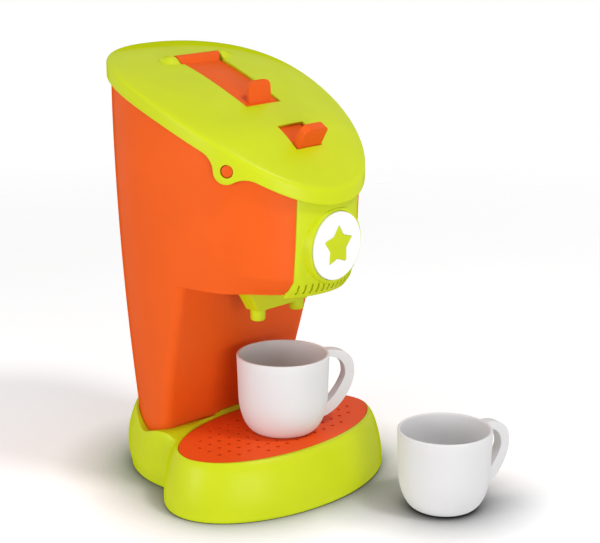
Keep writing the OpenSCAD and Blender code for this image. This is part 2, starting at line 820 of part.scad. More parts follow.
module along_x(w) {
    translate([-w / 2, 0, 0])
        rotate([90, 0, 90])
            linear_extrude(height = w)
                children();
}

// Low domed boss that carries one end of the flap's pin
module pin_bosses() {
    steps = 6;
    for (side = [0, 1])
        mirror([side, 0, 0])
            translate([lip_w / 2 + seat_gap, 0, 0])
                rotate([0, 90, 0])
                    rotate_extrude()
                        polygon(concat([[0, 0]], [for (i = [0:steps]) let (a = 90 * i / steps)
                            [(lip_r + 0.5) * cos(a), boss_l * sin(a)]]));
}

ear_r = 7.8;
ear_hole_d = 7.6;
ear_fillet = 14;
ear_up = catch_drop * cos(catch_slope) + 0.5;
ear_half = sqrt(pow(ear_r + ear_fillet, 2) - pow(ear_fillet - ear_up, 2));
ear_tangent = ear_r * (ear_fillet - ear_up) / (ear_r + ear_fillet);

// Outline of an ear, hanging along +X below the lid's edge, with a hollow fillet on each side
module ear_outline() {
    circle(r = ear_r);
    difference() {
        translate([-ear_up - 3, -ear_half])
            square([ear_up + 3 + ear_tangent, 2 * ear_half]);
        for (side = [-1, 1])
            translate([ear_fillet - ear_up, side * ear_half])
                circle(r = ear_fillet);
    }
}

// The ears follow the lid's outline, so they are cut from its skirt carried further down
module lid_ears() {
    intersection() {
        difference() {
            skin([lid_ring(1, 0, -14), lid_ring(1, 0, 4)]);
            skin([lid_ring(1, lid_wall, -15), lid_ring(1, lid_wall, 5)]);
        }
        at_catches()
            rotate([0, 0, catch_slope])
                translate([0, 0, -14])
                    linear_extrude(height = 20)
                        ear_outline();
    }
}

window_y = nose_y + 31;
window_tilt = atan(lid_top(window_y + 8) / 16 - lid_top(window_y - 8) / 16);
window_l = 19.2;
fin2_w = 20;
fin2_t = 5;
fin2_r = 2.6;
fin2_lean = 5;           // lean of the slider's fin up the slope, in degrees
slider_plate_w = window_w + 6;
slider_plate_l = window_l + 3.2;
slider_depth = lid_wall + 1.7;
retainer_w = slider_plate_w + 12;
retainer_l = slider_plate_l + slide_travel;
retainer_t = 1.8;
retainer_screw_x = retainer_w / 2 - 3;
slider_gap = 0.35;
fin2_root = slider_depth + slider_gap + 0.5;
retainer_post_l = flap_t + 2 * slider_gap;

module window_frame() {
    on_lid(window_y, window_tilt)
        children();
}

module at_retainer_screws() {
    for (side = [-1, 1])
        translate([side * retainer_screw_x, 3, 0])
            children();
}

module lid() {
    color(lime)
        difference() {
            union() {
                lid_skin();
                lid_ears();
                difference() {
                    lid_knuckle();
                    translate([-head_w / 2, 0, hinge_z + 3])
                        cube([head_w, hinge_y - 4 - lid_wall, 30]);
                }
                flap_frame() {
                    translate([0, 0, -flap_top_drop - flap_t - seat_gap - 2])
                        linear_extrude(height = flap_t + 1.8)
                            flap_outline(flap_side_gap + frame_wall);
                    translate([-lip_w / 2 - 3.5, -lip_foot - 2, -lip_r - seat_gap - 2])
                        cube([lip_w + 7, lip_foot + lip_r + 4.5, lip_r + 1]);
                    pin_bosses();
                }
                window_frame()
                    at_retainer_screws()
                        translate([0, 0, -slider_depth - retainer_post_l])
                            cylinder(d = 6, h = retainer_post_l + 1.2);
            }
            flap_frame() {
                translate([0, 0, -flap_top_drop - flap_t - seat_gap])
                    linear_extrude(height = 20)
                        flap_outline(flap_side_gap);
                translate([0, 0, -15])
                    linear_extrude(height = 30)
                        flap_outline(-flap_ledge);
                along_x(lip_w + 2 * seat_gap)
                    union() {
                        lip_profile(0.35);
                        translate([-lip_swing - 0.35, -flap_top_drop - flap_t - 0.35])
                            square([lip_swing + lip_r + 0.7, 3 * lip_r]);
                    }
                translate([-flap_pin_l / 2 - 0.2, 0, 0])
                    rotate([0, 90, 0])
                        cylinder(d = flap_pin_d + 2 * run_gap, h = flap_pin_l + 0.4);
            }
            window_frame() {
                translate([-window_w / 2, -window_l / 2, -10])
                    cube([window_w, window_l, 20]);
                at_retainer_screws()
                    translate([0, 0, -slider_depth - retainer_post_l - eps])
                        cylinder(d = pilot_d, h = retainer_post_l + eps);
            }
            at_catches()
                translate([0, 0, -lid_wall - eps])
                    cylinder(d = ear_hole_d, h = lid_wall + 2 * eps);
            hinge_bore(lid_knuckle_w + 2 * eps);
        }
}

// Rounded finger fin standing along +Z with its front face at y = 0
module fin(w, h, t, r) {
    draw = 1;            // how much narrower each side is at the top
    rotate([90, 0, 0])
        translate([0, 0, -t])
            linear_extrude(height = t)
                union() {
                    polygon([[-w / 2, 0], [w / 2, 0], [w / 2 - draw, h - r], [-w / 2 + draw, h - r]]);
                    for (side = [-1, 1])
                        translate([side * (w / 2 - draw - r), h - r])
                            circle(r = r);
                    translate([-w / 2 + draw + r, h - r])
                        square([w - 2 * draw - 2 * r, r]);
                }
}

module capsule_flap() {
    color(orange)
        flap_frame()
            difference() {
                union() {
                    flap_plate();
                    along_x(lip_w)
                        lip_profile(0);
                    translate([0, -flap_l + fin_set - 0.5 * tan(fin_lean), -flap_top_drop - 0.5])
                        rotate([-fin_lean, 0, 0])
                            fin(fin_w, (fin_h + 0.5) / cos(fin_lean), fin_t, fin_r);
                }
                translate([-flap_pin_l / 2 - eps, 0, 0])
                    rotate([0, 90, 0])
                        cylinder(d = flap_pin_d + 2 * run_gap, h = flap_pin_l + 2 * eps);
            }
}

module flap_pin() {
    color(steel)
        flap_frame()
            translate([-flap_pin_l / 2, 0, 0])
                rotate([0, 90, 0])
                    cylinder(d = flap_pin_d, h = flap_pin_l);
}

module eject_slider() {
    color(orange)
        window_frame() {
            translate([-slider_plate_w / 2, -window_l / 2 - 2, -slider_depth - slider_gap - flap_t])
                cube([slider_plate_w, slider_plate_l, flap_t]);
            translate([0, -window_l / 2 + 0.5 - fin2_root * tan(fin2_lean), -fin2_root])
                rotate([-fin2_lean, 0, 0])
                    fin(fin2_w, (fin_h + fin2_root) / cos(fin2_lean), fin2_t, fin2_r);
        }
}

module slider_retainer() {
    color(orange)
        window_frame()
            translate([0, 0, -slider_depth - retainer_post_l - retainer_t])
                difference() {
                    translate([-retainer_w / 2, -window_l / 2 - 3, 0])
                        cube([retainer_w, retainer_l, retainer_t]);
                    translate([-window_w / 2 + 1, -window_l / 2, -eps])
                        cube([window_w - 2, retainer_l - 6, retainer_t + 2 * eps]);
                    at_retainer_screws()
                        translate([0, 0, -eps])
                            cylinder(d = screw_d + 0.6, h = retainer_t + 2 * eps);
                }
}

module retainer_screws() {
    color(steel)
        window_frame()
            at_retainer_screws()
                translate([0, 0, -slider_depth - retainer_post_l - retainer_t])
                    screw(retainer_t + retainer_post_l - 0.4);
}

// ---------------------------------------------------------------- cups

cup_side_r = cup_d / 2 - 0.8;
handle_w = 7;
handle_t = 6;
handle_mid = cup_d / 2 - 3.5;
handle_z = cup_h * 0.65;
handle_foot_z = 5.5;

// Outer half-profile of the cup: foot, round belly, upright side, rim
function cup_outline(wall) =
    let (belly_z = cup_h * 0.5, foot = cup_foot_d / 2 - wall, side = cup_side_r - wall)
    concat([for (i = [0:10]) let (a = 90 * i / 10)
            [mix(foot, side, sin(a)), wall + (belly_z - wall) * (1 - cos(a))]],
        [[cup_d / 2 - wall, cup_h]]);

module cup_solid(wall) {
    rotate_extrude($fn = 72)
        polygon(concat([[0, wall]], cup_outline(wall),
            wall > 0 ? [[cup_d / 2 - wall, cup_h + 5], [0, cup_h + 5]] : [[0, cup_h]]));
}

// Ear-shaped loop: full above its middle, hollow below it. [half width, rise, fall, two exponents]
module handle_loop(a, rise, fall, n_up, n_low) {
    steps = 40;
    translate([handle_mid, handle_z])
        polygon([for (i = [0:steps - 1]) let (t = 360 * i / steps, n = sin(t) > 0 ? n_up : n_low)
            [a * sign(cos(t)) * pow(abs(cos(t)), 2 / n),
                (sin(t) > 0 ? rise : fall) * sign(sin(t)) * pow(abs(sin(t)), 2 / n)]]);
}

module cup(handle_turn) {
    color(white)
        difference() {
            union() {
                cup_solid(0);
                rotate([0, 0, handle_turn])
                    translate([0, handle_w / 2, 0])
                        rotate([90, 0, 0])
                            linear_extrude(height = handle_w)
                                difference() {
                                    handle_loop(handle_reach + 3.5, cup_h - handle_z - 0.6,
                                        handle_z - handle_foot_z, 2.8, 1.6);
                                    handle_loop(handle_reach + 3.5 - handle_t, cup_h - handle_z - 4.6,
                                        handle_z - handle_foot_z - 6.5, 2.5, 1.35);
                                    translate([-20, 0])
                                        square([cup_foot_d / 2 + 23, cup_h]);
                                }
            }
            cup_solid(cup_wall);
        }
}

tray_cup = [0, -34];
tray_cup_turn = -25;
side_cup = [35, -128];
side_cup_turn = -16;

module cup_on_tray() {
    translate([tray_cup[0], tray_cup[1], deck_z])
        cup(tray_cup_turn);
}

module cup_beside() {
    translate([side_cup[0], side_cup[1], 0])
        cup(side_cup_turn);
}

// ---------------------------------------------------------------- nodes

base_shell();
drip_grid();
body_shell();
base_screws();
front_panel();
panel_screws();
knob_hub();
knob_cap();
knob_washer();
knob_screw();
spout_block();
spout_screws();
lid();
hinge_pin();
capsule_flap();
flap_pin();
eject_slider();
slider_retainer();
retainer_screws();
cup_on_tray();
cup_beside();
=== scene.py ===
"""Looks of a toy capsule coffee maker and its two play cups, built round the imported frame."""

import logging
import math
from dataclasses import dataclass
from enum import Enum
from typing import Any, Callable, Iterable, Sequence

import bpy
from mathutils import Matrix, Vector


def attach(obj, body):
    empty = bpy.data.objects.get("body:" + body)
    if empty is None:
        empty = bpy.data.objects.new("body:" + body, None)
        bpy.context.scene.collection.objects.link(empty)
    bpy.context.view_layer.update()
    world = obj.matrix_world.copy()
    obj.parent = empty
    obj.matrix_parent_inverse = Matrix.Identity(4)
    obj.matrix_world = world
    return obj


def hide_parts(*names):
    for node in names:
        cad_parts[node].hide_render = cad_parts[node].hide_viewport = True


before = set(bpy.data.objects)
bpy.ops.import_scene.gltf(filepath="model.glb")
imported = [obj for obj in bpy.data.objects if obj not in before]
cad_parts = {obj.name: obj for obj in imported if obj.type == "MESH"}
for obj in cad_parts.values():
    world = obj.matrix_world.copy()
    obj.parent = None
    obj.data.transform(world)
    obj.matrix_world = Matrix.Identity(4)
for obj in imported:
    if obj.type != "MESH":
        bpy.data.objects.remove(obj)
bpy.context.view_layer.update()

LOG = logging.getLogger("coffee_maker")
MM = 0.001
Piece = bpy.types.Object
Point = tuple[float, float, float]
Flat = tuple[float, float]
SIDES = (-1.0, 1.0)
STILL = Matrix.Identity(4)
SIDEWAYS = Matrix(((0, 0, 1, 0), (1, 0, 0, 0), (0, 1, 0, 0), (0, 0, 0, 1)))
QUARTER_X = Matrix.Rotation(math.pi / 2, 4, "X")
QUARTER_Y = Matrix.Rotation(math.pi / 2, 4, "Y")
PIN_BORE = 1.55
SCREW_HOLE = 1.55


def mix(low: float, high: float, share: float) -> float:
    """The value a share of the way from low to high."""
    return low + (high - low) * share


def ease(share: float) -> float:
    """A share from 0 to 1 with soft ends."""
    held = max(0.0, min(1.0, share))
    return held * held * (3.0 - 2.0 * held)


def linear(red: int, green: int, blue: int) -> tuple[float, float, float, float]:
    """Scene colour of an sRGB colour given as three bytes."""
    def channel(value: int) -> float:
        """One byte as scene light."""
        part = value / 255.0
        return part / 12.92 if part <= 0.04045 else ((part + 0.055) / 1.055) ** 2.4
    return channel(red), channel(green), channel(blue), 1.0
def circle(steps: int) -> list[float]:
    """The angles of one whole turn in even steps."""
    return [2.0 * math.pi * step / steps for step in range(steps)]


def arc(x: float, y: float, radius: float, angles: Iterable[float]) -> list[Flat]:
    """Points round a middle at the given angles."""
    return [(x + radius * math.cos(a), y + radius * math.sin(a)) for a in angles]


def shift(x: float = 0.0, y: float = 0.0, z: float = 0.0) -> Matrix:
    """A move without a turn."""
    return Matrix.Translation((x, y, z))


def lean_x(angle: float) -> Matrix:
    """A turn about X by an angle in radians."""
    return Matrix.Rotation(angle, 4, "X")
# ---------------------------------------------------------------- finishes


class Tint(Enum):
    """Colours of the moulded pieces, as sRGB bytes."""

    LIME = (202, 215, 20)
    ORANGE = (236, 95, 27)
    DEEP_ORANGE = (240, 86, 30)
    WHITE = (224, 223, 224)
    BRIGHT_WHITE = (251, 252, 250)


class Wiring:
    """Adds nodes to a material or a world and joins them up."""

    def __init__(self, owner: "bpy.types.Material | bpy.types.World", bare: bool = False) -> None:
        """Switches the nodes on.

        Args:
            owner: The material or the world.
            bare: True where the nodes it starts with are taken out.
        """
        owner.use_nodes = True
        self.tree = owner.node_tree
        if bare:
            self.tree.nodes.clear()

    def add(self, kind: str, values: dict[str | int, Any] | None = None, **traits: Any) -> bpy.types.Node:
        """Adds one node.

        Args:
            kind: Its type, without the leading ShaderNode.
            values: Values by the name or the number of an input.
            traits: Settings of the node itself.

        Returns:
            The node.
        """
        node = self.tree.nodes.new("ShaderNode" + kind)
        for name, value in traits.items():
            setattr(node, name, value)
        for name, value in (values or {}).items():
            node.inputs[name].default_value = value
        return node

    def ramp(self, *stops: tuple[float, Sequence[float]]) -> bpy.types.Node:
        """Adds a colour ramp with two stops of position and colour."""
        node = self.add("ValToRGB")
        for element, (position, colour) in zip(node.color_ramp.elements, stops):
            element.position = position
            element.color = (*colour, 1.0)
        return node

    def join(self, *wires: tuple[bpy.types.Node, str | int, bpy.types.Node, str | int]) -> None:
        """Lays wires, each from a node's output to another node's input."""
        for source, output, target, entry in wires:
            self.tree.links.new(source.outputs[output], target.inputs[entry])


@dataclass(frozen=True)
class Finish:
    """A material that is built once, and the slot its pieces go to."""

    name: str
    slot: str

    def wire(self, wiring: Wiring) -> None:
        """Lays out the nodes."""
        raise NotImplementedError

    def material(self) -> bpy.types.Material:
        """Builds the finish once and returns it after that.

        Returns:
            The node material.
        """
        made = bpy.data.materials.get(self.name)
        if made is None:
            made = bpy.data.materials.new(self.name)
            self.wire(Wiring(made))
        return made


@dataclass(frozen=True)
class MouldedPlastic(Finish):
    """Glossy injection-moulded plastic with flow variation and a fine moulding grain."""

    tint: Tint
    roughness: float = 0.36
    grain: float = 0.05
    drift: float = 0.04
    gloss: float = 0.3

    def wire(self, wiring: Wiring) -> None:
        """Lays out the colour drift, the rubbed places, the grain and the sheen, on Object coordinates."""
        shader = wiring.tree.nodes["Principled BSDF"]
        shader.inputs["IOR"].default_value = 1.46
        place, facing = wiring.add("TexCoord"), wiring.add("LayerWeight")
        flow, rub, grain = (wiring.add("TexNoise", {"Scale": scale, "Detail": detail})
                            for scale, detail in ((34.0, 3.0), (95.0, 4.0), (1400.0, 2.0)))
        base = linear(*self.tint.value)[:3]
        ramp = wiring.ramp((0.3, [c * (1.0 - self.drift) for c in base]),
                           (0.7, [min(1.0, c * (1.0 + 0.4 * self.drift)) for c in base]))
        spread = wiring.add("MapRange", {"To Min": self.roughness - 0.05, "To Max": self.roughness + 0.06})
        bump = wiring.add("Bump", {"Strength": self.grain, "Distance": 0.0002})
        sheen = wiring.add("MapRange", {"From Min": 0.3, "From Max": 0.8, "To Min": self.gloss,
                                        "To Max": 0.0})
        wiring.join(*((place, "Object", noise, "Vector") for noise in (flow, rub, grain)))
        wiring.join((flow, "Fac", ramp, "Fac"), (ramp, "Color", shader, "Base Color"),
                    (rub, "Fac", spread, "Value"), (spread, "Result", shader, "Roughness"),
                    (grain, "Fac", bump, "Height"), (bump, "Normal", shader, "Normal"),
                    (facing, "Facing", sheen, "Value"), (sheen, "Result", shader, "Specular IOR Level"))


@dataclass(frozen=True)
class PlatedSteel(Finish):
    """Bright plated steel with fine turning marks."""

    def wire(self, wiring: Wiring) -> None:
        """Lays out the turning marks in colour and roughness."""
        shader = wiring.tree.nodes["Principled BSDF"]
        shader.inputs["Metallic"].default_value = 1.0
        place, marks = wiring.add("TexCoord"), wiring.add("TexNoise", {"Scale": 700.0})
        ramp = wiring.ramp((0.0, (0.42, 0.43, 0.45)), (1.0, (0.62, 0.62, 0.63)))
        spread = wiring.add("MapRange", {"To Min": 0.22, "To Max": 0.38})
        wiring.join((place, "Object", marks, "Vector"), (marks, "Fac", ramp, "Fac"),
                    (ramp, "Color", shader, "Base Color"), (marks, "Fac", spread, "Value"),
                    (spread, "Result", shader, "Roughness"))


LIME = MouldedPlastic("lime_moulding", "lime_shell", Tint.LIME, gloss=0.24)
ORANGE = MouldedPlastic("orange_moulding", "orange_shell", Tint.ORANGE, gloss=0.12)
DECK_ORANGE = MouldedPlastic("grid_moulding", "orange_shell", Tint.DEEP_ORANGE, roughness=0.4, gloss=0.12)
WHITE = MouldedPlastic("white_moulding", "white_gloss", Tint.WHITE, roughness=0.42, grain=0.01, drift=0.01)
DISC_WHITE = MouldedPlastic("disc_moulding", "white_gloss", Tint.BRIGHT_WHITE, roughness=0.4, grain=0.01,
                            drift=0.005)
STEEL = PlatedSteel("plated_steel", "steel")


# ---------------------------------------------------------------- the bench


class Bench:
    """Makes pieces from primitives with Blender's own tools. All sizes are in millimetres."""

    @staticmethod
    def clear() -> None:
        """Leaves every object deselected and nothing active."""
        bpy.ops.object.select_all(action="DESELECT")
        bpy.context.view_layer.objects.active = None

    @staticmethod
    def only(piece: Piece) -> None:
        """Selects one piece and makes it active."""
        Bench.clear()
        piece.select_set(True)
        bpy.context.view_layer.objects.active = piece

    @staticmethod
    def shaped(name: str, points: Iterable[Point], work: Callable[[], Any]) -> Piece:
        """Turns the primitive just added into a piece.

        Args:
            name: Name of the new piece.
            points: Where its points go.
            work: What is done to it in edit mode, with everything selected.

        Returns:
            The new piece.
        """
        piece = bpy.context.active_object
        piece.name = name
        piece.data.vertices.foreach_set("co", [value * MM for point in points for value in point])
        bpy.ops.object.mode_set(mode="EDIT")
        bpy.ops.mesh.select_all(action="SELECT")
        work()
        bpy.ops.mesh.select_all(action="SELECT")
        bpy.ops.mesh.normals_make_consistent(inside=False)
        bpy.ops.object.mode_set(mode="OBJECT")
        return piece

    @staticmethod
    def skin(name: str, rings: Sequence[Sequence[Point]]) -> Piece:
        """Shapes a grid primitive into a closed skin over rings of equal point count.

        Args:
            name: Name of the new piece.
            rings: Rings in order, each going the same way round. An end ring of equal points closes the skin.

        Returns:
            The new piece.
        """
        def close() -> None:
            """Joins the seam and the points that lie on each other."""
            bpy.ops.mesh.remove_doubles(threshold=2e-6)
            bpy.ops.mesh.dissolve_degenerate(threshold=1e-6)

        count = len(rings[0])
        Bench.clear()
        bpy.ops.mesh.primitive_grid_add(x_subdivisions=count, y_subdivisions=len(rings) - 1, size=1.0)
        points = [ring[column % count] for ring in rings for column in range(count + 1)]
        return Bench.shaped(name, points, close)

    @staticmethod
    def lathe(name: str, profile: Sequence[Flat], steps: int, place: Matrix = STILL) -> Piece:
        """Turns a profile of (radius, height) about Z and moves it to its place.

        Args:
            name: Name of the new piece.
            profile: Points from the axis at one end, over the outside, to the axis again.
            steps: Points of one turn.
            place: Where the turned piece goes, in millimetres.

        Returns:
            The new piece.
        """
        rings = [[(r * math.cos(a), r * math.sin(a), z) for a in circle(steps)] for r, z in profile]
        return Bench.put(Bench.skin(name, rings), place)

    @staticmethod
    def slab(name: str, outline: Sequence[Flat], low: float, high: float, place: Matrix = STILL) -> Piece:
        """Shapes a filled circle into an outline and extrudes it along Z.

        Args:
            name: Name of the new piece.
            outline: Corners, anticlockwise.
            low: Height of the lower face.
            high: Height of the upper face.
            place: Where the slab goes, in millimetres.

        Returns:
            The new piece.
        """
        def raise_face() -> None:
            """Extrudes the filled outline to its upper face."""
            bpy.ops.mesh.extrude_region_move(TRANSFORM_OT_translate={"value": (0.0, 0.0, (high - low) * MM)})

        Bench.clear()
        bpy.ops.mesh.primitive_circle_add(vertices=len(outline), radius=1.0, fill_type="NGON")
        return Bench.put(Bench.shaped(name, [(x, y, low) for x, y in outline], raise_face), place)

    @staticmethod
    def block(name: str, low: Point, high: Point, place: Matrix = STILL) -> Piece:
        """A box between two corners, moved to its place."""
        outline = [(low[0], low[1]), (high[0], low[1]), (high[0], high[1]), (low[0], high[1])]
        return Bench.slab(name, outline, low[2], high[2], place)

    @staticmethod
    def rod(name: str, radius: float, low: float, high: float, place: Matrix = STILL,
            steps: int = 48) -> Piece:
        """A round bar along Z between two heights, moved to its place."""
        return Bench.lathe(name, [(0.0, low), (radius, low), (radius, high), (0.0, high)], steps, place)

    @staticmethod
    def put(piece: Piece, place: Matrix) -> Piece:
        """Moves a piece's mesh, its object stays at the origin."""
        scaled = place.copy()
        scaled.translation = place.translation * MM
        piece.data.transform(scaled)
        if place.determinant() < 0.0:
            piece.data.flip_normals()
        piece.data.update()
        return piece

    @staticmethod
    def modify(piece: Piece, kind: str, **traits: Any) -> Piece:
        """Adds a modifier with the given settings and applies it."""
        work = piece.modifiers.new(kind.lower(), kind)
        for name, value in traits.items():
            setattr(work, name, value)
        Bench.only(piece)
        bpy.ops.object.modifier_apply(modifier=work.name)
        return piece

    @staticmethod
    def carve(piece: Piece, *tools: Piece, how: str = "DIFFERENCE") -> Piece:
        """Cuts, adds or crosses one piece with others in turn, which are used up.

        Args:
            piece: The piece that stays.
            tools: The pieces that are used up.
            how: DIFFERENCE, UNION or INTERSECT.

        Returns:
            The piece that stays.
        """
        for tool in tools:
            Bench.modify(piece, "BOOLEAN", operation=how, solver="MANIFOLD", object=tool)
            bpy.data.objects.remove(tool, do_unlink=True)
        return piece

    @staticmethod
    def weld(piece: Piece, *tools: Piece) -> Piece:
        """Adds other pieces to one, which stays."""
        return Bench.carve(piece, *tools, how="UNION")

    @staticmethod
    def soften(piece: Piece, width: float, segments: int = 2, angle: float = 38.0) -> Piece:
        """Rounds the edges that are sharper than an angle."""
        return Bench.modify(piece, "BEVEL", width=width * MM, segments=segments, limit_method="ANGLE",
                            angle_limit=math.radians(angle), miter_outer="MITER_ARC")

    @staticmethod
    def coat(piece: Piece, finish: Finish) -> None:
        """Gives a piece its finish."""
        piece.data.materials.clear()
        piece.data.materials.append(finish.material())

    @staticmethod
    def dress(piece: Piece, finish: Finish, body: str, node: str) -> None:
        """Gives a piece its finish, its shading and its body.

        Args:
            piece: The finished mesh.
            finish: The finish it takes.
            body: The body it moves with.
            node: The node it replaces.
        """
        Bench.coat(piece, finish)
        piece.data.polygons.foreach_set("material_index", [0] * len(piece.data.polygons))
        Bench.only(piece)
        bpy.ops.object.shade_smooth_by_angle(angle=math.radians(34.0))
        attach(piece, body)
        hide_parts(node)
        LOG.info("%s: %d faces on %s", piece.name, len(piece.data.polygons), body)


def rounded(corners: Sequence[Flat], radii: Sequence[float], steps: int = 5) -> list[Flat]:
    """Rounds the corners of an outline.

    Args:
        corners: The outline's corners.
        radii: The radius at each corner.
        steps: Pieces of each rounding.

    Returns:
        The rounded outline.
    """
    made: list[Flat] = []
    for index, corner in enumerate(corners):
        here = Vector(corner)
        before = (Vector(corners[index - 1]) - here).normalized()
        after = (Vector(corners[(index + 1) % len(corners)]) - here).normalized()
        half = before.angle(after) / 2.0
        reach = radii[index] / math.tan(half)
        start, end = here + before * reach, here + after * reach
        middle = here + (before + after).normalized() * (radii[index] / math.sin(half))
        first, last = start - middle, end - middle
        turn = first.angle_signed(last)
        for step in range(steps + 1):
            spoke = first.copy()
            spoke.rotate(Matrix.Rotation(-turn * step / steps, 2))
            made.append(tuple(middle + spoke))
    return made


# ---------------------------------------------------------------- the head's outline


@dataclass(frozen=True)
class HeadOutline:
    """Egg-shaped outline of the head, the lid's sloping lower edge and the body's draft."""

    half_width: float = 66.2
    half_depth: float = 78.2
    middle_y: float = -0.5
    fullness: float = 2.17
    egg: float = 0.11
    edge_base: float = 223.0
    edge_slope: float = 0.438
    edge_radius: float = 279.0
    lid_wall: float = 1.8
    lid_gap: float = 0.6

    def full(self, share: float) -> float:
        """Swells a share of a radius towards the corner of its box."""
        return math.copysign(abs(share) ** (2.0 / self.fullness), share)

    def at(self, angle: float, inset: float) -> Flat:
        """The outline's point at an angle, drawn in by inset."""
        side, ahead = self.full(math.cos(angle)), self.full(math.sin(angle))
        return (self.half_width - inset) * side * (1.0 + self.egg * ahead), \
            self.middle_y + (self.half_depth - inset) * ahead

    def angle_at(self, y: float, inset: float) -> float:
        """The angle at which the right side passes a station."""
        share = max(-1.0, min(1.0, (y - self.middle_y) / (self.half_depth - inset)))
        return math.asin(math.copysign(abs(share) ** (self.fullness / 2.0), share))

    def walk(self, angle: float, run: float) -> float:
        """The angle reached from another one by going a distance along the outline."""
        steps = max(1, math.ceil(abs(run) / 0.5))
        for _ in range(steps):
            pace = math.dist(self.at(angle - 0.002, 0.0), self.at(angle + 0.002, 0.0)) / 0.004
            angle += run / steps / pace
        return angle

    def edge_z(self, y: float) -> float:
        """Height of the lid's lower edge at a station."""
        return self.edge_base + self.edge_slope * y - y * y / (2.0 * self.edge_radius)

    def draft(self, z: float) -> float:
        """How far the body has drawn in under the lid at a height."""
        drop = max(0.0, self.edge_base + 2.0 - z)
        return 0.0122 * drop + 0.000242 * drop * drop

    @property
    def skirt(self) -> float:
        """Inset of the body under the lid's skirt."""
        return self.lid_wall + self.lid_gap


HEAD = HeadOutline()


# ---------------------------------------------------------------- body


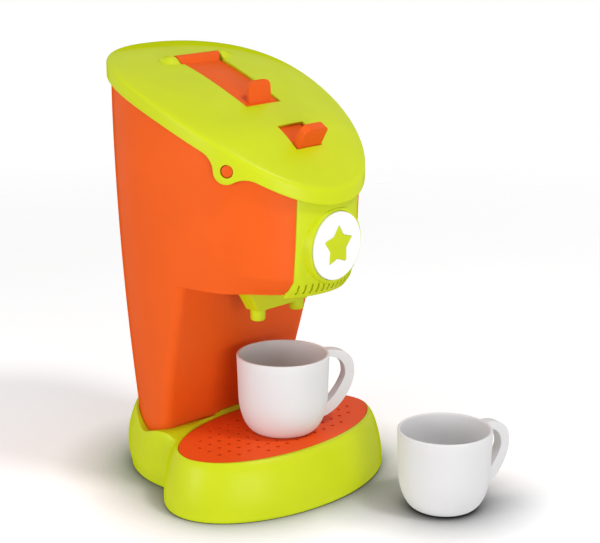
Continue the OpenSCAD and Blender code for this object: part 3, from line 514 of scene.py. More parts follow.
@dataclass
class Tub:
    """The orange moulding of column and head, with the lime panel and the spouts that it carries."""

    wall: float = 2.2
    floor_z: float = 18.0
    deck_z: float = 33.5
    under_z: float = 127.8
    under_rise: float = 0.05
    under_y: float = -30.0
    foot_y: float = 12.5
    lean: float = 13.5
    corner: float = 6.0
    bevel: float = 5.0
    fillet: float = 2.0
    mouth_lift: float = 5.0
    back_points: int = 97
    front_points: int = 47
    panel_half: float = 25.7
    panel_z0: float = 124.5
    panel_z1: float = 183.0
    panel_gap: float = 0.3
    hinge_y: float = 81.7
    hinge_z: float = 243.213
    knuckle: float = 3.48
    knuckle_x: float = 17.8
    knuckle_w: float = 9.0
    spine_y: float = 40.0
    catch_y: float = -42.5
    catch_drop: float = 2.5

    def face_y(self, z: float) -> float:
        """Station of the column's front face at a height."""
        return self.foot_y - (z - self.deck_z) * math.tan(math.radians(self.lean))

    def under(self, y: float) -> float:
        """Height of the head's underside at a station."""
        return self.under_z + self.under_rise * (y - self.under_y)

    def back_angles(self, start: float) -> list[float]:
        """Angles over the back from the right side to the left side."""
        return [mix(start, math.pi - start, i / (self.back_points - 1)) for i in range(self.back_points)]

    def nose_angles(self, start: float) -> list[float]:
        """Angles over the nose from the left side to the right side."""
        return [mix(math.pi - start, 2.0 * math.pi + start, i / (self.front_points + 1))
                for i in range(1, self.front_points + 1)]

    def column_front(self, inset: float, face: float, radius: float) -> list[Flat]:
        """Left corner, flat face and right corner of the column."""
        half = HEAD.at(HEAD.angle_at(face + radius, inset), inset)[0]
        turns = (self.front_points - 1) // 4
        flat = self.front_points - 2 * turns
        left = [math.pi * (1.0 + 0.5 * i / turns) for i in range(1, turns + 1)]
        right = [math.pi * (1.5 + 0.5 * i / turns) for i in range(turns)]
        return (arc(-half + radius, face + radius, radius, left)
                + [(mix(-half + radius, half - radius, i / (flat + 1)), face) for i in range(1, flat + 1)]
                + arc(half - radius, face + radius, radius, right))

    def column_ring(self, z: float, wall: float) -> list[Point]:
        """One level of the column, drawn in by wall."""
        inset, face, radius = HEAD.skirt + HEAD.draft(z) + wall, self.face_y(z) + wall, self.corner - wall
        back = [HEAD.at(a, inset) for a in self.back_angles(HEAD.angle_at(face + radius, inset))]
        return [(x, y, z) for x, y in back + self.column_front(inset, face, radius)]

    def head_ring(self, share: float, wall: float) -> list[Point]:
        """One level of the head, from its underside at 0 to its mouth at 1."""
        start = HEAD.angle_at(self.face_y(self.under_z) + self.corner, HEAD.skirt)
        made: list[Point] = []
        for a in self.back_angles(start) + self.nose_angles(start):
            y0 = HEAD.at(a, 0.0)[1]
            low = self.under(y0) if y0 < self.face_y(self.under_z) + self.corner else self.under_z + 3.0
            z = mix(low, HEAD.edge_z(y0) + self.mouth_lift, share)
            nose = self.bevel * ease((-y0 - 36.0) / 22.0) * max(0.0, 1.0 - share / 0.15)
            x, y = HEAD.at(a, HEAD.skirt + HEAD.draft(z) + nose + wall)
            made.append((x, y, z))
        return made

    def ledge_ring(self, share: float, wall: float, inward: float, upward: float) -> list[Point]:
        """One level between the column and the head's nose, in the head's underside.

        Args:
            share: 0 at the column, 1 at the nose.
            wall: How far the skin is drawn in.
            inward: How far the point is moved from its own end towards the other.
            upward: Height above the underside's plane.

        Returns:
            The ring.
        """
        column, nose = self.column_ring(self.under_z, wall), self.head_ring(0.0, wall)
        start = self.face_y(self.under_z) + self.corner
        lows = self.back_angles(HEAD.angle_at(start, HEAD.skirt + HEAD.draft(self.under_z) + wall))
        highs = self.back_angles(HEAD.angle_at(start, HEAD.skirt))
        made: list[Point] = []
        for index, (low, high) in enumerate(zip(column, nose)):
            if index < self.back_points:
                rise = mix(-3.0, 3.0, share) + (inward if share < 0.5 else -inward) * 0.1
                z = self.under_z + rise + wall
                x, y = HEAD.at(mix(lows[index], highs[index], share), HEAD.skirt + HEAD.draft(z) + wall)
                made.append((x, y, z))
                continue
            run = math.dist(low[:2], high[:2])
            part = min(inward, 0.4 * run) / max(run, 1e-6)
            at = share + part if share < 0.5 else share - part
            x, y = mix(low[0], high[0], at), mix(low[1], high[1], at)
            held = min(1.0, run / 6.0)
            made.append((x, y, self.under(y) + wall + upward * held))
        return made

    def end_ring(self, z: float) -> list[Point]:
        """A ring of equal points that closes a skin of the column at a height."""
        return [(0.0, self.spine_y, z)] * (self.back_points + self.front_points)

    def rings(self) -> list[list[Point]]:
        """All levels of the outer and the inner skin, from under the foot to the floor inside."""
        low, high, edge = self.deck_z + 3.0, self.under_z - 5.0, 1.1
        levels = [self.floor_z, self.deck_z] + [mix(low, high, i / 13.0) for i in range(14)]
        outer = [self.column_ring(z, 0.0) for z in levels]
        turn = [i / 4.0 * math.pi / 2.0 for i in range(5)]
        outer += [self.ledge_ring(0.0, 0.0, self.fillet * (1.0 - math.cos(a)),
                                  self.fillet * (math.sin(a) - 1.0))
                  for a in turn]
        outer += [self.ledge_ring(share, 0.0, step, 0.0)
                  for share, step in ((0.0, 6.0), (0.0, 14.0), (1.0, 14.0), (1.0, 6.0))]
        outer += [self.ledge_ring(1.0, 0.0, edge * (1.0 - math.sin(a)), edge * (1.0 - math.cos(a)))
                  for a in turn]
        shares = [0.05, 0.1, 0.14, 0.155, 0.18] + [mix(0.22, 1.0, i / 15.0) for i in range(16)]
        outer += [self.head_ring(share, 0.0) for share in shares]
        inner = [self.head_ring(share, self.wall) for share in (1.0, 0.8, 0.6, 0.4, 0.25, 0.15, 0.08)]
        inner += [self.ledge_ring(share, self.wall, 0.0, 0.0) for share in (1.0, 0.0)]
        inner += [self.column_ring(z, self.wall)
                  for z in (110.0, 85.0, 60.0, self.deck_z, self.floor_z + self.wall)]
        return [self.end_ring(self.floor_z)] + outer + inner + [self.end_ring(self.floor_z + self.wall)]

    def build(self) -> None:
        """Models the tub."""
        half = self.panel_half + self.panel_gap
        tub = Bench.carve(Bench.skin("tub", self.rings()), Bench.block(
            "panel_gap", (-half, -110.0, self.panel_z0 - 10.0), (half, -57.7, self.panel_z1 + 20.0)))
        Bench.soften(tub, 0.35)
        Bench.weld(tub, *self.knuckles(), *self.catches(), *self.inside_parts())
        Bench.dress(tub, ORANGE, "machine", "body_shell")

    def knuckles(self) -> list[Piece]:
        """Two hinge knuckles with their arms, each with the bore for the pin."""
        y, z, wide, made = self.hinge_y, self.hinge_z, self.knuckle_w, []
        arm = [(y - 8.0, z - 16.0), (y + 2.9, z - 2.0), (y, z + 1.0), (y - 8.0, z + 1.0)]
        for side in SIDES:
            start = shift(side * self.knuckle_x - wide / 2.0)
            axis = shift(0.0, y, z) @ (start @ QUARTER_Y)
            knuckle = Bench.weld(Bench.rod("knuckle", self.knuckle, 0.0, wide, axis),
                                 Bench.slab("arm", arm, 0.0, wide, start @ SIDEWAYS))
            Bench.carve(knuckle, Bench.rod("bore", PIN_BORE, -1.0, wide + 1.0, axis))
            made.append(Bench.soften(knuckle, 0.4))
        return made

    def catches(self) -> list[Piece]:
        """The two low round catches under the lid's ears."""
        z = HEAD.edge_z(self.catch_y) - self.catch_drop
        low = -HEAD.skirt - HEAD.draft(z) - 1.0
        profile = [(0.0, low), (3.5, low), (3.5, -1.5), (3.3, -1.0), (2.6, -0.7), (0.0, -0.6)]
        return [Bench.lathe("catch", profile, 40, ear_place(self.catch_y, z, left)) for left in (False, True)]

    def inside_parts(self) -> list[Piece]:
        """The bulkhead behind the panel and the screw bosses in the foot."""
        bulkhead = Bench.block("bulkhead", (-24.0, -52.0, self.under(-50.0) + 1.1), (24.0, -50.0, 173.5))
        Bench.carve(bulkhead, *(Bench.rod("hole", SCREW_HOLE, -4.0, 4.0, post_place(side, -51.0))
                                for side in SIDES))
        profile = [(1.3, 19.0), (4.0, 19.0), (4.0, 31.1), (1.3, 31.1), (1.3, 19.0)]
        return [bulkhead] + [Bench.lathe("boss", profile, 32, shift(side * 26.0, y))
                             for side in SIDES for y in (30.0, 50.0)]


def post_place(side: float, y: float) -> Matrix:
    """Frame of one of the panel's two screw posts, with +Z towards the front."""
    return shift(side * 17.0, y, 167.5) @ QUARTER_X


def ear_place(y: float, z: float, mirrored: bool) -> Matrix:
    """Frame on the head's outline: +X down, +Y along the outline, +Z outwards.

    Args:
        y: Station of the frame's origin.
        z: Height of the frame's origin.
        mirrored: True for the left side.

    Returns:
        The frame, in millimetres.
    """
    angle = HEAD.angle_at(y, 0.0)
    step = math.radians(2.0)
    here = HEAD.at(angle, 0.0)
    along = Vector(HEAD.at(angle + step, 0.0)) - Vector(HEAD.at(angle - step, 0.0))
    facing = math.atan2(along[1], along[0]) - math.pi / 2
    place = shift(here[0], here[1], z) @ Matrix.Rotation(facing, 4, "Z") @ QUARTER_Y
    return Matrix.Scale(-1.0, 4, (1.0, 0.0, 0.0)) @ place if mirrored else place


@dataclass
class FrontPanel:
    """The lime barrel-shaped panel with its lower bevel, its slots and the knob's collar."""

    half: float = 25.7
    low: float = 124.5
    high: float = 183.0
    wall: float = 2.4
    radius: float = 52.4
    axis_y: float = -23.6
    back_y: float = -58.0
    slots: int = 12
    slot_pitch: float = 4.0
    slot_half: float = 0.6
    slot_r: float = 46.9
    collar_r: float = 21.95
    collar_rise: float = 2.3
    recess_r: float = 19.95
    bore_r: float = 3.05

    def face(self) -> list[Flat]:
        """Outer profile as (radius, height), from the lower edge to the upper edge."""
        shares = [(0.853, 0.0), (0.9084, 0.077), (0.9427, 0.18), (0.977, 0.547), (1.0, 1.0)]
        keys = [(self.radius * r, mix(self.low, self.high, z)) for r, z in shares]
        made: list[Flat] = []
        for (r0, z0), (r1, z1) in zip(keys, keys[1:]):
            made.extend((mix(r0, r1, i / 4.0), mix(z0, z1, i / 4.0)) for i in range(4))
        return made + [keys[-1]]

    def barrel(self, inset: float) -> Piece:
        """The whole barrel, drawn in by inset."""
        low, high = self.low + inset, self.high - inset
        face = [(r - inset, min(max(z, low), high)) for r, z in self.face()]
        return Bench.lathe("barrel", [(0.0, low)] + face + [(0.0, high)], 240, shift(0.0, self.axis_y))

    def collar(self) -> Piece:
        """The raised collar that the knob turns in, with the bore for the shaft."""
        front, r, hole, bore = self.collar_rise, self.collar_r, self.recess_r, self.bore_r
        profile = [(bore, -4.5), (22.6, -4.5), (22.5, -3.0), (r + 0.2, front - 1.3), (r - 0.1, front - 0.3),
                   (r - 0.45, front), (hole + 0.25, front), (hole, front - 0.25), (hole, 0.0), (bore, 0.0),
                   (bore, -4.5)]
        return Bench.lathe("collar", profile, 144, KNOB_PLACE)

    def slot_tools(self) -> list[Piece]:
        """The cutters of the row of slots."""
        made = []
        for index in range(self.slots):
            x = (index - (self.slots - 1) / 2.0) * self.slot_pitch
            y = self.axis_y - math.sqrt(self.slot_r ** 2 - x * x)
            made.append(Bench.block("slot", (x - self.slot_half, y - 6.0, self.low + 2.2),
                                    (x + self.slot_half, y + 3.5, self.low + 8.0)))
        return made

    def build(self) -> None:
        """Models the panel."""
        front = Bench.block("front", (-self.half, -100.0, 100.0), (self.half, self.back_y, 200.0))
        panel = Bench.carve(self.barrel(0.0), front, how="INTERSECT")
        half = self.half - self.wall
        inside = Bench.block("inside", (-half, -100.0, 100.0), (half, 0.0, 200.0))
        hollow = Bench.carve(self.barrel(self.wall), inside, how="INTERSECT")
        Bench.carve(panel, hollow, Bench.rod("seat", 22.0, -4.0, 10.0, KNOB_PLACE, 144))
        Bench.soften(panel, 0.5)
        Bench.carve(panel, *self.slot_tools())
        posts = [Bench.rod("post", 3.5, 0.0, 19.0, post_place(side, -52.0)) for side in SIDES]
        Bench.weld(panel, self.collar(), *posts)
        panel.name = "barrel_panel"
        Bench.dress(panel, LIME, "machine", "front_panel")


KNOB_PLACE = shift(0.0, -72.6, 153.0) @ lean_x(math.radians(92.0))


@dataclass
class Knob:
    """White disc round a lime star, turning on a shaft."""

    radius: float = 19.7
    flange: float = 1.2
    disc: float = 2.6
    gap: float = 0.3
    star: float = 12.6
    hollow: float = 0.58

    def star_outline(self, grow: float) -> list[Flat]:
        """The star with rounded tips, grown by a gap."""
        corners = []
        for index in range(10):
            reach = (self.star if index % 2 == 0 else self.star * self.hollow) + grow
            angle = math.radians(90.0 + 36.0 * index)
            corners.append((reach * math.cos(angle), reach * math.sin(angle)))
        return rounded(corners, [0.9, 0.7] * 5, 5)

    def build(self) -> None:
        """Models the disc and the hub with the star."""
        low, high, r, edge = self.gap + self.flange, self.gap + self.flange + self.disc, self.radius, 0.9
        rim = [(0.0, low), (r - 0.3, low), (r, low + 0.3)]
        rim += arc(r - edge, high - edge, edge, (0.0, 0.35, 0.7, 1.05, 1.4))
        cap = Bench.lathe("knob_disc", rim + [(r - 1.1, high), (0.0, high)], 144, KNOB_PLACE)
        Bench.carve(cap, Bench.slab("star_hole", self.star_outline(0.15), low - 1.0, high + 1.0, KNOB_PLACE))
        Bench.soften(cap, 0.2)
        Bench.dress(cap, DISC_WHITE, "knob", "knob_cap")
        star = Bench.slab("knob_star", self.star_outline(0.0), self.gap + 0.2, high - 0.3, KNOB_PLACE)
        Bench.soften(star, 0.3, 3)
        flange = [(0.0, self.gap), (17.9, self.gap), (18.2, self.gap + 0.3), (18.2, low - 0.3), (17.9, low),
                  (0.0, low)]
        shaft = [(0.0, -12.0), (2.7, -12.0), (3.0, -11.7), (3.0, 0.6), (0.0, 0.6)]
        Bench.weld(star, Bench.lathe("flange", flange, 96, KNOB_PLACE),
                   Bench.lathe("shaft", shaft, 48, KNOB_PLACE))
        Bench.dress(star, LIME, "knob", "knob_hub")


@dataclass
class SpoutBlock:
    """The lime V-shaped block under the head with its two spouts."""

    y: float = -29.5
    pitch: float = 33.0
    tip_z: float = 104.0
    radius: float = 4.5
    depth: float = 10.0
    top_half: float = 34.0

    def build(self, tub: Tub) -> None:
        """Models the block.

        Args:
            tub: The tub whose underside it meets.
        """
        low, top = self.tip_z + 6.5, tub.under_z + 3.0
        half = self.pitch / 2.0 + self.radius
        corners = [(-half, low), (half, low), (self.top_half, top), (-self.top_half, top)]
        block = Bench.slab("spouts", rounded(corners, [2.0, 2.0, 0.5, 0.5]), 0.0, self.depth,
                           shift(0.0, self.y + self.depth / 2.0) @ QUARTER_X)
        Bench.soften(block, 1.3, 4)
        slope = shift(0.0, tub.under_y, tub.under_z) @ lean_x(math.atan(tub.under_rise))
        Bench.carve(block, Bench.block("head", (-60.0, -60.0, 0.0), (60.0, 60.0, 40.0), slope))
        r = self.radius
        profile = [(0.0, 10.5), (r, 10.5), (r - 0.1, 4.0), (r - 0.2, 1.0), (r - 0.7, 0.25), (r - 1.3, 0.0),
                   (r - 1.9, 0.3), (r - 2.0, 1.0), (r - 2.0, 9.0), (0.0, 9.0)]
        Bench.weld(block, *(Bench.lathe("tip", profile, 48,
                                        shift(side * self.pitch / 2.0, self.y, self.tip_z))
                            for side in SIDES))
        Bench.dress(block, LIME, "machine", "spout_block")


# ---------------------------------------------------------------- lid


@dataclass(frozen=True)
class EarShape:
    """Outline of an ear that hangs from the lid's edge, with a hollow fillet on each side.

    Distances along the edge are measured from the ear's middle, up the slope.
    """

    y: float = -42.5
    drop: float = 2.5
    radius: float = 7.8
    fillet: float = 14.0
    hole: float = 3.8

    @property
    def slope(self) -> float:
        """Slope of the lid's edge at the ear."""
        return math.atan(HEAD.edge_slope - self.y / HEAD.edge_radius)

    @property
    def up(self) -> float:
        """Height of the edge over the ear's middle, square to the slope."""
        return self.drop * math.cos(self.slope)

    @property
    def half(self) -> float:
        """Half of the ear's length with its fillets."""
        return math.sqrt((self.radius + self.fillet) ** 2 - (self.fillet - self.up) ** 2)

    def hang(self, along: float) -> float:
        """How far the ear hangs below the edge, square to the slope, at a distance along it."""
        run = abs(along)
        meet = self.radius * self.half / (self.radius + self.fillet)
        if run >= self.half:
            return 0.0
        if run <= meet:
            return math.sqrt(self.radius ** 2 - run * run) + self.up
        return self.fillet - math.sqrt(max(0.0, self.fillet ** 2 - (self.half - run) ** 2))

    def columns(self) -> list[tuple[float, float]]:
        """Angle on the outline and hang of each of the right ear's columns, from the front."""
        middle = HEAD.angle_at(self.y, 0.0)
        reach = self.half + 1.0
        made = []
        for index in range(65):
            share = index / 32.0 - 1.0
            along = reach * (0.62 * share + 0.38 * share ** 3)
            run = along * math.cos(self.slope) - self.up * math.sin(self.slope)
            made.append((HEAD.walk(middle, run), self.hang(along)))
        return made

    def place(self, mirrored: bool) -> Matrix:
        """Frame at the ear's middle, on the head's outline."""
        return ear_place(self.y, HEAD.edge_z(self.y) - self.drop, mirrored)


EAR = EarShape()


@dataclass
class LidSet:
    """The domed lid with its ears, the long flap and the short slider."""

    rim: float = 8.895
    dome: float = 4.7
    power: float = 3.7
    shoulder: float = 2.6
    shoulder_y: float = -42.0
    shoulder_len: float = 15.0
    points: int = 168
    flap_front: float = 19.5
    flap_axis: float = 35.0
    flap_half: float = 14.0
    flap_back_half: float = 15.75
    flap_drop: float = 1.1
    plate: float = 2.2
    lip_foot: float = 5.1
    lip_r: float = 2.59
    lip_half: float = 17.5
    pin_r: float = 1.25
    side_gap: float = 0.35
    fin_w: float = 18.4
    fin_t: float = 2.2
    fin_r: float = 4.4
    fin_h: float = 12.5
    fin_set: float = 2.6
    fin_lean: float = 20.0
    window_y: float = -47.7
    window_w: float = 21.5
    window_l: float = 19.2
    fin2_w: float = 20.0
    fin2_t: float = 5.0
    fin2_r: float = 4.0
    fin2_lean: float = 5.0
    slider_depth: float = 3.5
    slider_gap: float = 0.35
    slider_top: float = 2.6
    travel: float = 6.0

    def lift(self, share: float, y: float) -> float:
        """Height of the dome above the lower edge, at a share of the outline."""
        near = math.exp(-((y - self.shoulder_y) / self.shoulder_len) ** 2)
        swell = self.shoulder * (1.0 - share ** 4) * near
        return self.rim + self.dome * (1.0 - share ** self.power) + swell

    def top(self, y: float) -> float:
        """Height of the lid's outer face on its middle line."""
        return HEAD.edge_z(y) + self.lift(abs(y - HEAD.middle_y) / HEAD.half_depth, y)

    def columns(self) -> list[tuple[float, float]]:
        """Angle and hang of each column round the lid: even steps, with the ears' finer ones between."""
        right = EAR.columns()
        left = [(math.pi - angle, hang) for angle, hang in right[::-1]]
        made = right + left
        spans = [(right[0][0], right[-1][0]), (left[0][0], left[-1][0])]
        step = 2.0 * math.pi / self.points
        for index in range(self.points):
            angle = -math.pi / 2 + step * index
            if not any(low - step * 0.6 < angle < high + step * 0.6 for low, high in spans):
                made.append((angle, 0.0))
        return sorted(made)

    def ring(self, share: float, inset: float, drop: float, lift: float | None = None,
             hang: float = 0.0) -> list[Point]:
        """One ring of the lid.

        Args:
            share: Size of the ring as a share of the outline.
            inset: How far the outline is drawn in.
            drop: How far the ring lies under the dome's outer face.
            lift: Height above the lower edge that takes the dome's place.
            hang: How much of the ears' hang the ring takes.

        Returns:
            The ring.
        """
        made: list[Point] = []
        for angle, depth in self.columns():
            fall = depth * hang
            edge_y = HEAD.at(angle, inset)[1]
            side = 1.0 if math.cos(angle) > 0.0 else -1.0
            turned = HEAD.walk(angle, side * fall * math.sin(EAR.slope)) if fall else angle
            x, y0 = HEAD.at(turned, inset)
            y = HEAD.middle_y + share * (y0 - HEAD.middle_y)
            base_y = HEAD.middle_y + share * (edge_y - HEAD.middle_y)
            rise = self.lift(share, y) - drop if lift is None else lift - fall * math.cos(EAR.slope)
            made.append((share * x, y, HEAD.edge_z(base_y) + rise))
        return made

    def shell(self) -> Piece:
        """The bare lid: dome, soft shoulder, rim band and ears."""
        wall = HEAD.lid_wall
        steps = [0.0] + [mix(0.06, 0.9, i / 17.0) for i in range(18)]
        inner = [self.ring(k, wall, wall) for k in steps + [0.95, 0.985]]
        inner += [self.ring(1.0, wall, 0.0, self.rim - 2.8)]
        inner += [self.ring(1.0, wall, 0.0, mix(4.5, 0.3, t), t) for t in (0.0, 0.2, 0.4, 0.6, 0.8, 1.0)]
        band = [self.ring(1.0, wall - 0.3, 0.0, 0.0, 1.0), self.ring(1.0, 0.45, 0.0, 0.0, 1.0),
                self.ring(1.0, 0.13, 0.0, 0.13, 1.0), self.ring(1.0, 0.0, 0.0, 0.45, 1.0)]
        band += [self.ring(1.0, 0.0, 0.0, mix(4.5, 0.45, t), t)
                 for t in (0.86, 0.7, 0.55, 0.4, 0.26, 0.12, 0.0)]
        turn = 2.4
        band += [self.ring(1.0, turn * (1.0 - math.cos(a)), 0.0, self.rim - 1.8 + turn * math.sin(a) * 0.97)
                 for a in (0.0, 0.2, 0.4, 0.6, 0.8, 1.0, 1.18)]
        outer = [self.ring(k, 0.0, 0.0) for k in [0.97, 0.955, 0.94, 0.925] + steps[::-1]]
        return Bench.skin("lid_dome", inner + band + outer)

    def flap_rise(self) -> tuple[float, float]:
        """Heights of the lid's outer face at the flap's hinge axis and at its front end."""
        return self.top(self.flap_axis), self.top(-self.flap_front)

    def flap_tilt(self) -> float:
        """Slope of the flap."""
        back, front = self.flap_rise()
        return math.atan((back - front) / (self.flap_axis + self.flap_front))

    def flap_place(self) -> Matrix:
        """Frame of the flap: origin on its hinge axis, +Y up the slope, +Z outwards."""
        return shift(0.0, self.flap_axis, self.top(self.flap_axis)) @ lean_x(self.flap_tilt())

    def flap_length(self) -> float:
        """Length of the flap from its hinge axis to its front end."""
        return (self.flap_axis + self.flap_front) / math.cos(self.flap_tilt())

    def flap_crown(self) -> float:
        """Rise of the dome over the middle of the flap's chord."""
        back, front = self.flap_rise()
        middle = self.top((self.flap_axis - self.flap_front) / 2.0)
        return (middle - (back + front) / 2.0) * math.cos(self.flap_tilt())

    def window_place(self) -> Matrix:
        """Frame of the slider's window: +Y up the slope, +Z outwards."""
        tilt = math.atan((self.top(self.window_y + 8.0) - self.top(self.window_y - 8.0)) / 16.0)
        return shift(0.0, self.window_y, self.top(self.window_y)) @ lean_x(tilt)

    def flap_outline(self, grow: float) -> list[Flat]:
        """Outline of the flap's plate, grown by a gap."""
        front, back = -self.flap_length() - grow, -self.lip_foot + grow
        near, far = self.flap_half + grow, self.flap_back_half + grow
        return [(-near, front), (near, front), (far, back), (-far, back)]

    def hinge_tab(self, tub: Tub) -> Piece:
        """The lid's hinge knuckle with the tab that joins it to the rim."""
        y, z, half, rim = tub.hinge_y, tub.hinge_z, 13.0, tub.hinge_z + self.rim
        profile = [(y - 1.5, z), (y + 3.1, z + 1.0), (y - 3.0, rim + 0.4), (y - 4.9, rim - 0.2),
                   (y - 4.9, z + 4.0)]
        tab = Bench.slab("hinge_tab", profile, 0.0, 2.0 * half, shift(-half) @ SIDEWAYS)
        Bench.weld(tab, Bench.rod("barrel", tub.knuckle, 0.0, 2.0 * half, shift(-half, y, z) @ QUARTER_Y))
        return Bench.soften(tab, 0.5)

    def pin_bump(self, flap: Matrix, side: float) -> Piece:
        """A soft bump on the dome that hides one end of the flap's pin."""
        reach, height, steps = 7.0, 2.8, 12
        arch = [(reach * i / steps, height * (0.5 + 0.5 * math.cos(math.pi * i / steps)) - 0.25)
                for i in range(steps, -1, -1)]
        spot = shift(side * (self.lip_half + 3.4), -0.6, 0.25)
        place = flap @ spot @ Matrix.Diagonal((1.15, 0.95, 1.0, 1.0))
        return Bench.lathe("pin_bump", [(0.0, -2.0), (reach, -2.0)] + arch, 48, place)

    def pin_bore(self, flap: Matrix) -> Piece:
        """The cutter of the bore for the flap's pin."""
        return Bench.rod("pin_bore", self.pin_r + 0.05, 0.0, 46.0, flap @ shift(-23.0) @ QUARTER_Y)

    def build(self, tub: Tub) -> None:
        """Models the lid, the flap and the slider.

        Args:
            tub: The tub that the lid is hinged to.
        """
        flap, window = self.flap_place(), self.window_place()
        low, half, deep = -self.flap_drop - self.plate - 2.3, self.lip_half + 3.5, -self.slider_depth
        frame_slab = Bench.slab("frame", self.flap_outline(2.5), low, low + self.plate + 1.8, flap)
        lip_frame = Bench.block("lip_frame", (-half, -self.lip_foot - 2.0, -self.lip_r - 2.3),
                                (half, self.lip_r + 2.5, -1.3), flap)
        lid = Bench.weld(self.shell(), self.hinge_tab(tub), frame_slab, lip_frame,
                         *(self.pin_bump(flap, side) for side in SIDES))
        axis = shift(-15.0, tub.hinge_y, tub.hinge_z) @ QUARTER_Y
        Bench.carve(lid, *self.cutters(flap, window), Bench.rod("bore", PIN_BORE, 0.0, 30.0, axis))
        Bench.soften(lid, 0.3, 2, 50.0)
        Bench.weld(lid, *(Bench.rod("post", 3.0, deep - 2.9, deep + 1.2, window @ shift(side * 16.75, 3.0))
                          for side in SIDES))
        Bench.dress(lid, LIME, "lid_body", "lid")
        self.build_flap(flap)
        self.build_slider(window)

    def cutters(self, flap: Matrix, window: Matrix) -> list[Piece]:
        """The tools that open the flap's seat, the lip's slot, the window and the ears' holes."""
        under, gap = -self.flap_drop - self.plate, self.side_gap
        swing = math.hypot(self.lip_foot, self.flap_drop + self.plate) + gap
        slot = [(-swing, under - gap), (self.lip_r + gap, under - gap), (self.lip_r + gap, 8.0),
                (-swing, 8.0)]
        half_w, half_l = self.window_w / 2.0, self.window_l / 2.0
        corners = [(-half_w, -half_l), (half_w, -half_l), (half_w, half_l), (-half_w, half_l)]
        return [Bench.slab("flap_seat", self.flap_outline(gap), under - 0.3, 20.0, flap),
                Bench.slab("chute", self.flap_outline(-2.0), -15.0, 20.0, flap),
                Bench.slab("lip_slot", slot, 0.0, 2.0 * self.lip_half + 0.6,
                           flap @ (shift(-self.lip_half - 0.3) @ SIDEWAYS)),
                self.pin_bore(flap),
                Bench.slab("window", rounded(corners, [0.7] * 4, 3), -12.0, 20.0, window),
                Bench.block("slide", (-half_w - 3.3, -half_l - 2.3, -9.0),
                            (half_w + 3.3, half_l + 1.5 + self.travel, -self.slider_top + 0.25), window),
                *(Bench.rod("ear_hole", EAR.hole, -6.0, 4.0, EAR.place(left), 56) for left in (False, True))]

    @staticmethod
    def fin(width: float, height: float, thick: float, radius: float, place: Matrix) -> Piece:
        """A finger fin with rounded top corners, its front face at y = 0."""
        half = width / 2.0
        corners = [(-half, 0.0), (half, 0.0), (half - 1.0, height), (-half + 1.0, height)]
        upright = place @ QUARTER_X @ shift(0.0, 0.0, -thick)
        fin = Bench.slab("fin", rounded(corners, [0.1, 0.1, radius, radius], 8), 0.0, thick, upright)
        return Bench.soften(fin, min(1.7, 0.35 * thick), 4, 50.0)

    def flap_section(self) -> list[Flat]:
        """Side outline of the flap: bowed plate, hollow crease, sloping lip, barrel round the pin."""
        length, foot, drop, steps = self.flap_length(), self.lip_foot, self.flap_drop, 20
        shares = [i / steps for i in range(steps + 1)]
        bow = [(mix(-length, -foot, t), -drop + 4.0 * self.flap_crown() * t * (1.0 - t)) for t in shares]
        crease = [(-foot + 1.7 * t + 0.35 * t * t, -drop + 1.45 * t * t) for t in (0.35, 0.65, 1.0)]
        barrel = arc(0.0, 0.0, self.lip_r, [math.radians(turn) for turn in range(122, -92, -12)])
        low = [(y, z - self.plate) for y, z in bow[::-1]]
        return bow[:-2] + [(-foot - 1.3, -drop + 0.22)] + crease + barrel + low

    def flap_half_at(self, y: float, z: float) -> float:
        """Half of the flap's width at a point of its section."""
        if y > -self.lip_foot:
            up = ease((z + self.flap_drop) / 3.0) if y < 1.0 else 1.0
            return mix(self.flap_back_half, self.lip_half, up)
        along = 1.0 + (y + self.lip_foot) / (self.flap_length() - self.lip_foot)
        return mix(self.flap_half, self.flap_back_half, max(0.0, min(1.0, along)))

    def build_flap(self, flap: Matrix) -> None:
        """Models the long flap with its lip and its fin."""
        piece = Bench.slab("long_flap", self.flap_section()[::-1], -1.0, 1.0, SIDEWAYS)
        for vertex in piece.data.vertices:
            half = self.flap_half_at(vertex.co.y / MM, vertex.co.z / MM)
            vertex.co.x = math.copysign(half * MM, vertex.co.x)
        Bench.put(piece, flap)
        Bench.soften(piece, 0.45, 3, 50.0)
        root, lean = 0.5, math.radians(self.fin_lean)
        front = self.fin_set - self.flap_length() - 0.2
        stand = flap @ shift(0.0, front, -self.flap_drop - root) @ lean_x(-lean)
        height = (self.fin_h + root) / math.cos(lean)
        Bench.weld(piece, self.fin(self.fin_w, height, self.fin_t, self.fin_r, stand))
        Bench.carve(piece, self.pin_bore(flap))
        Bench.dress(piece, ORANGE, "flap", "capsule_flap")

    def build_slider(self, window: Matrix) -> None:
        """Models the short slider with its fin."""
        half, front = self.window_w / 2.0 + 3.0, -self.window_l / 2.0
        depth = self.slider_depth + self.slider_gap
        plate = Bench.block("short_slider", (-half, front - 2.0, -depth - self.plate),
                            (half, self.window_l / 2.0 + 1.2, -self.slider_top), window)
        Bench.soften(plate, 0.4)
        root, lean = depth + 0.5, math.radians(self.fin2_lean)
        stand = window @ shift(0.0, front + 0.5 - root * math.tan(lean), -root) @ lean_x(-lean)
        height = (self.fin_h + root) / math.cos(lean)
        Bench.weld(plate, self.fin(self.fin2_w, height, self.fin2_t, self.fin2_r, stand))
        Bench.dress(plate, ORANGE, "slider", "eject_slider")


# ---------------------------------------------------------------- base


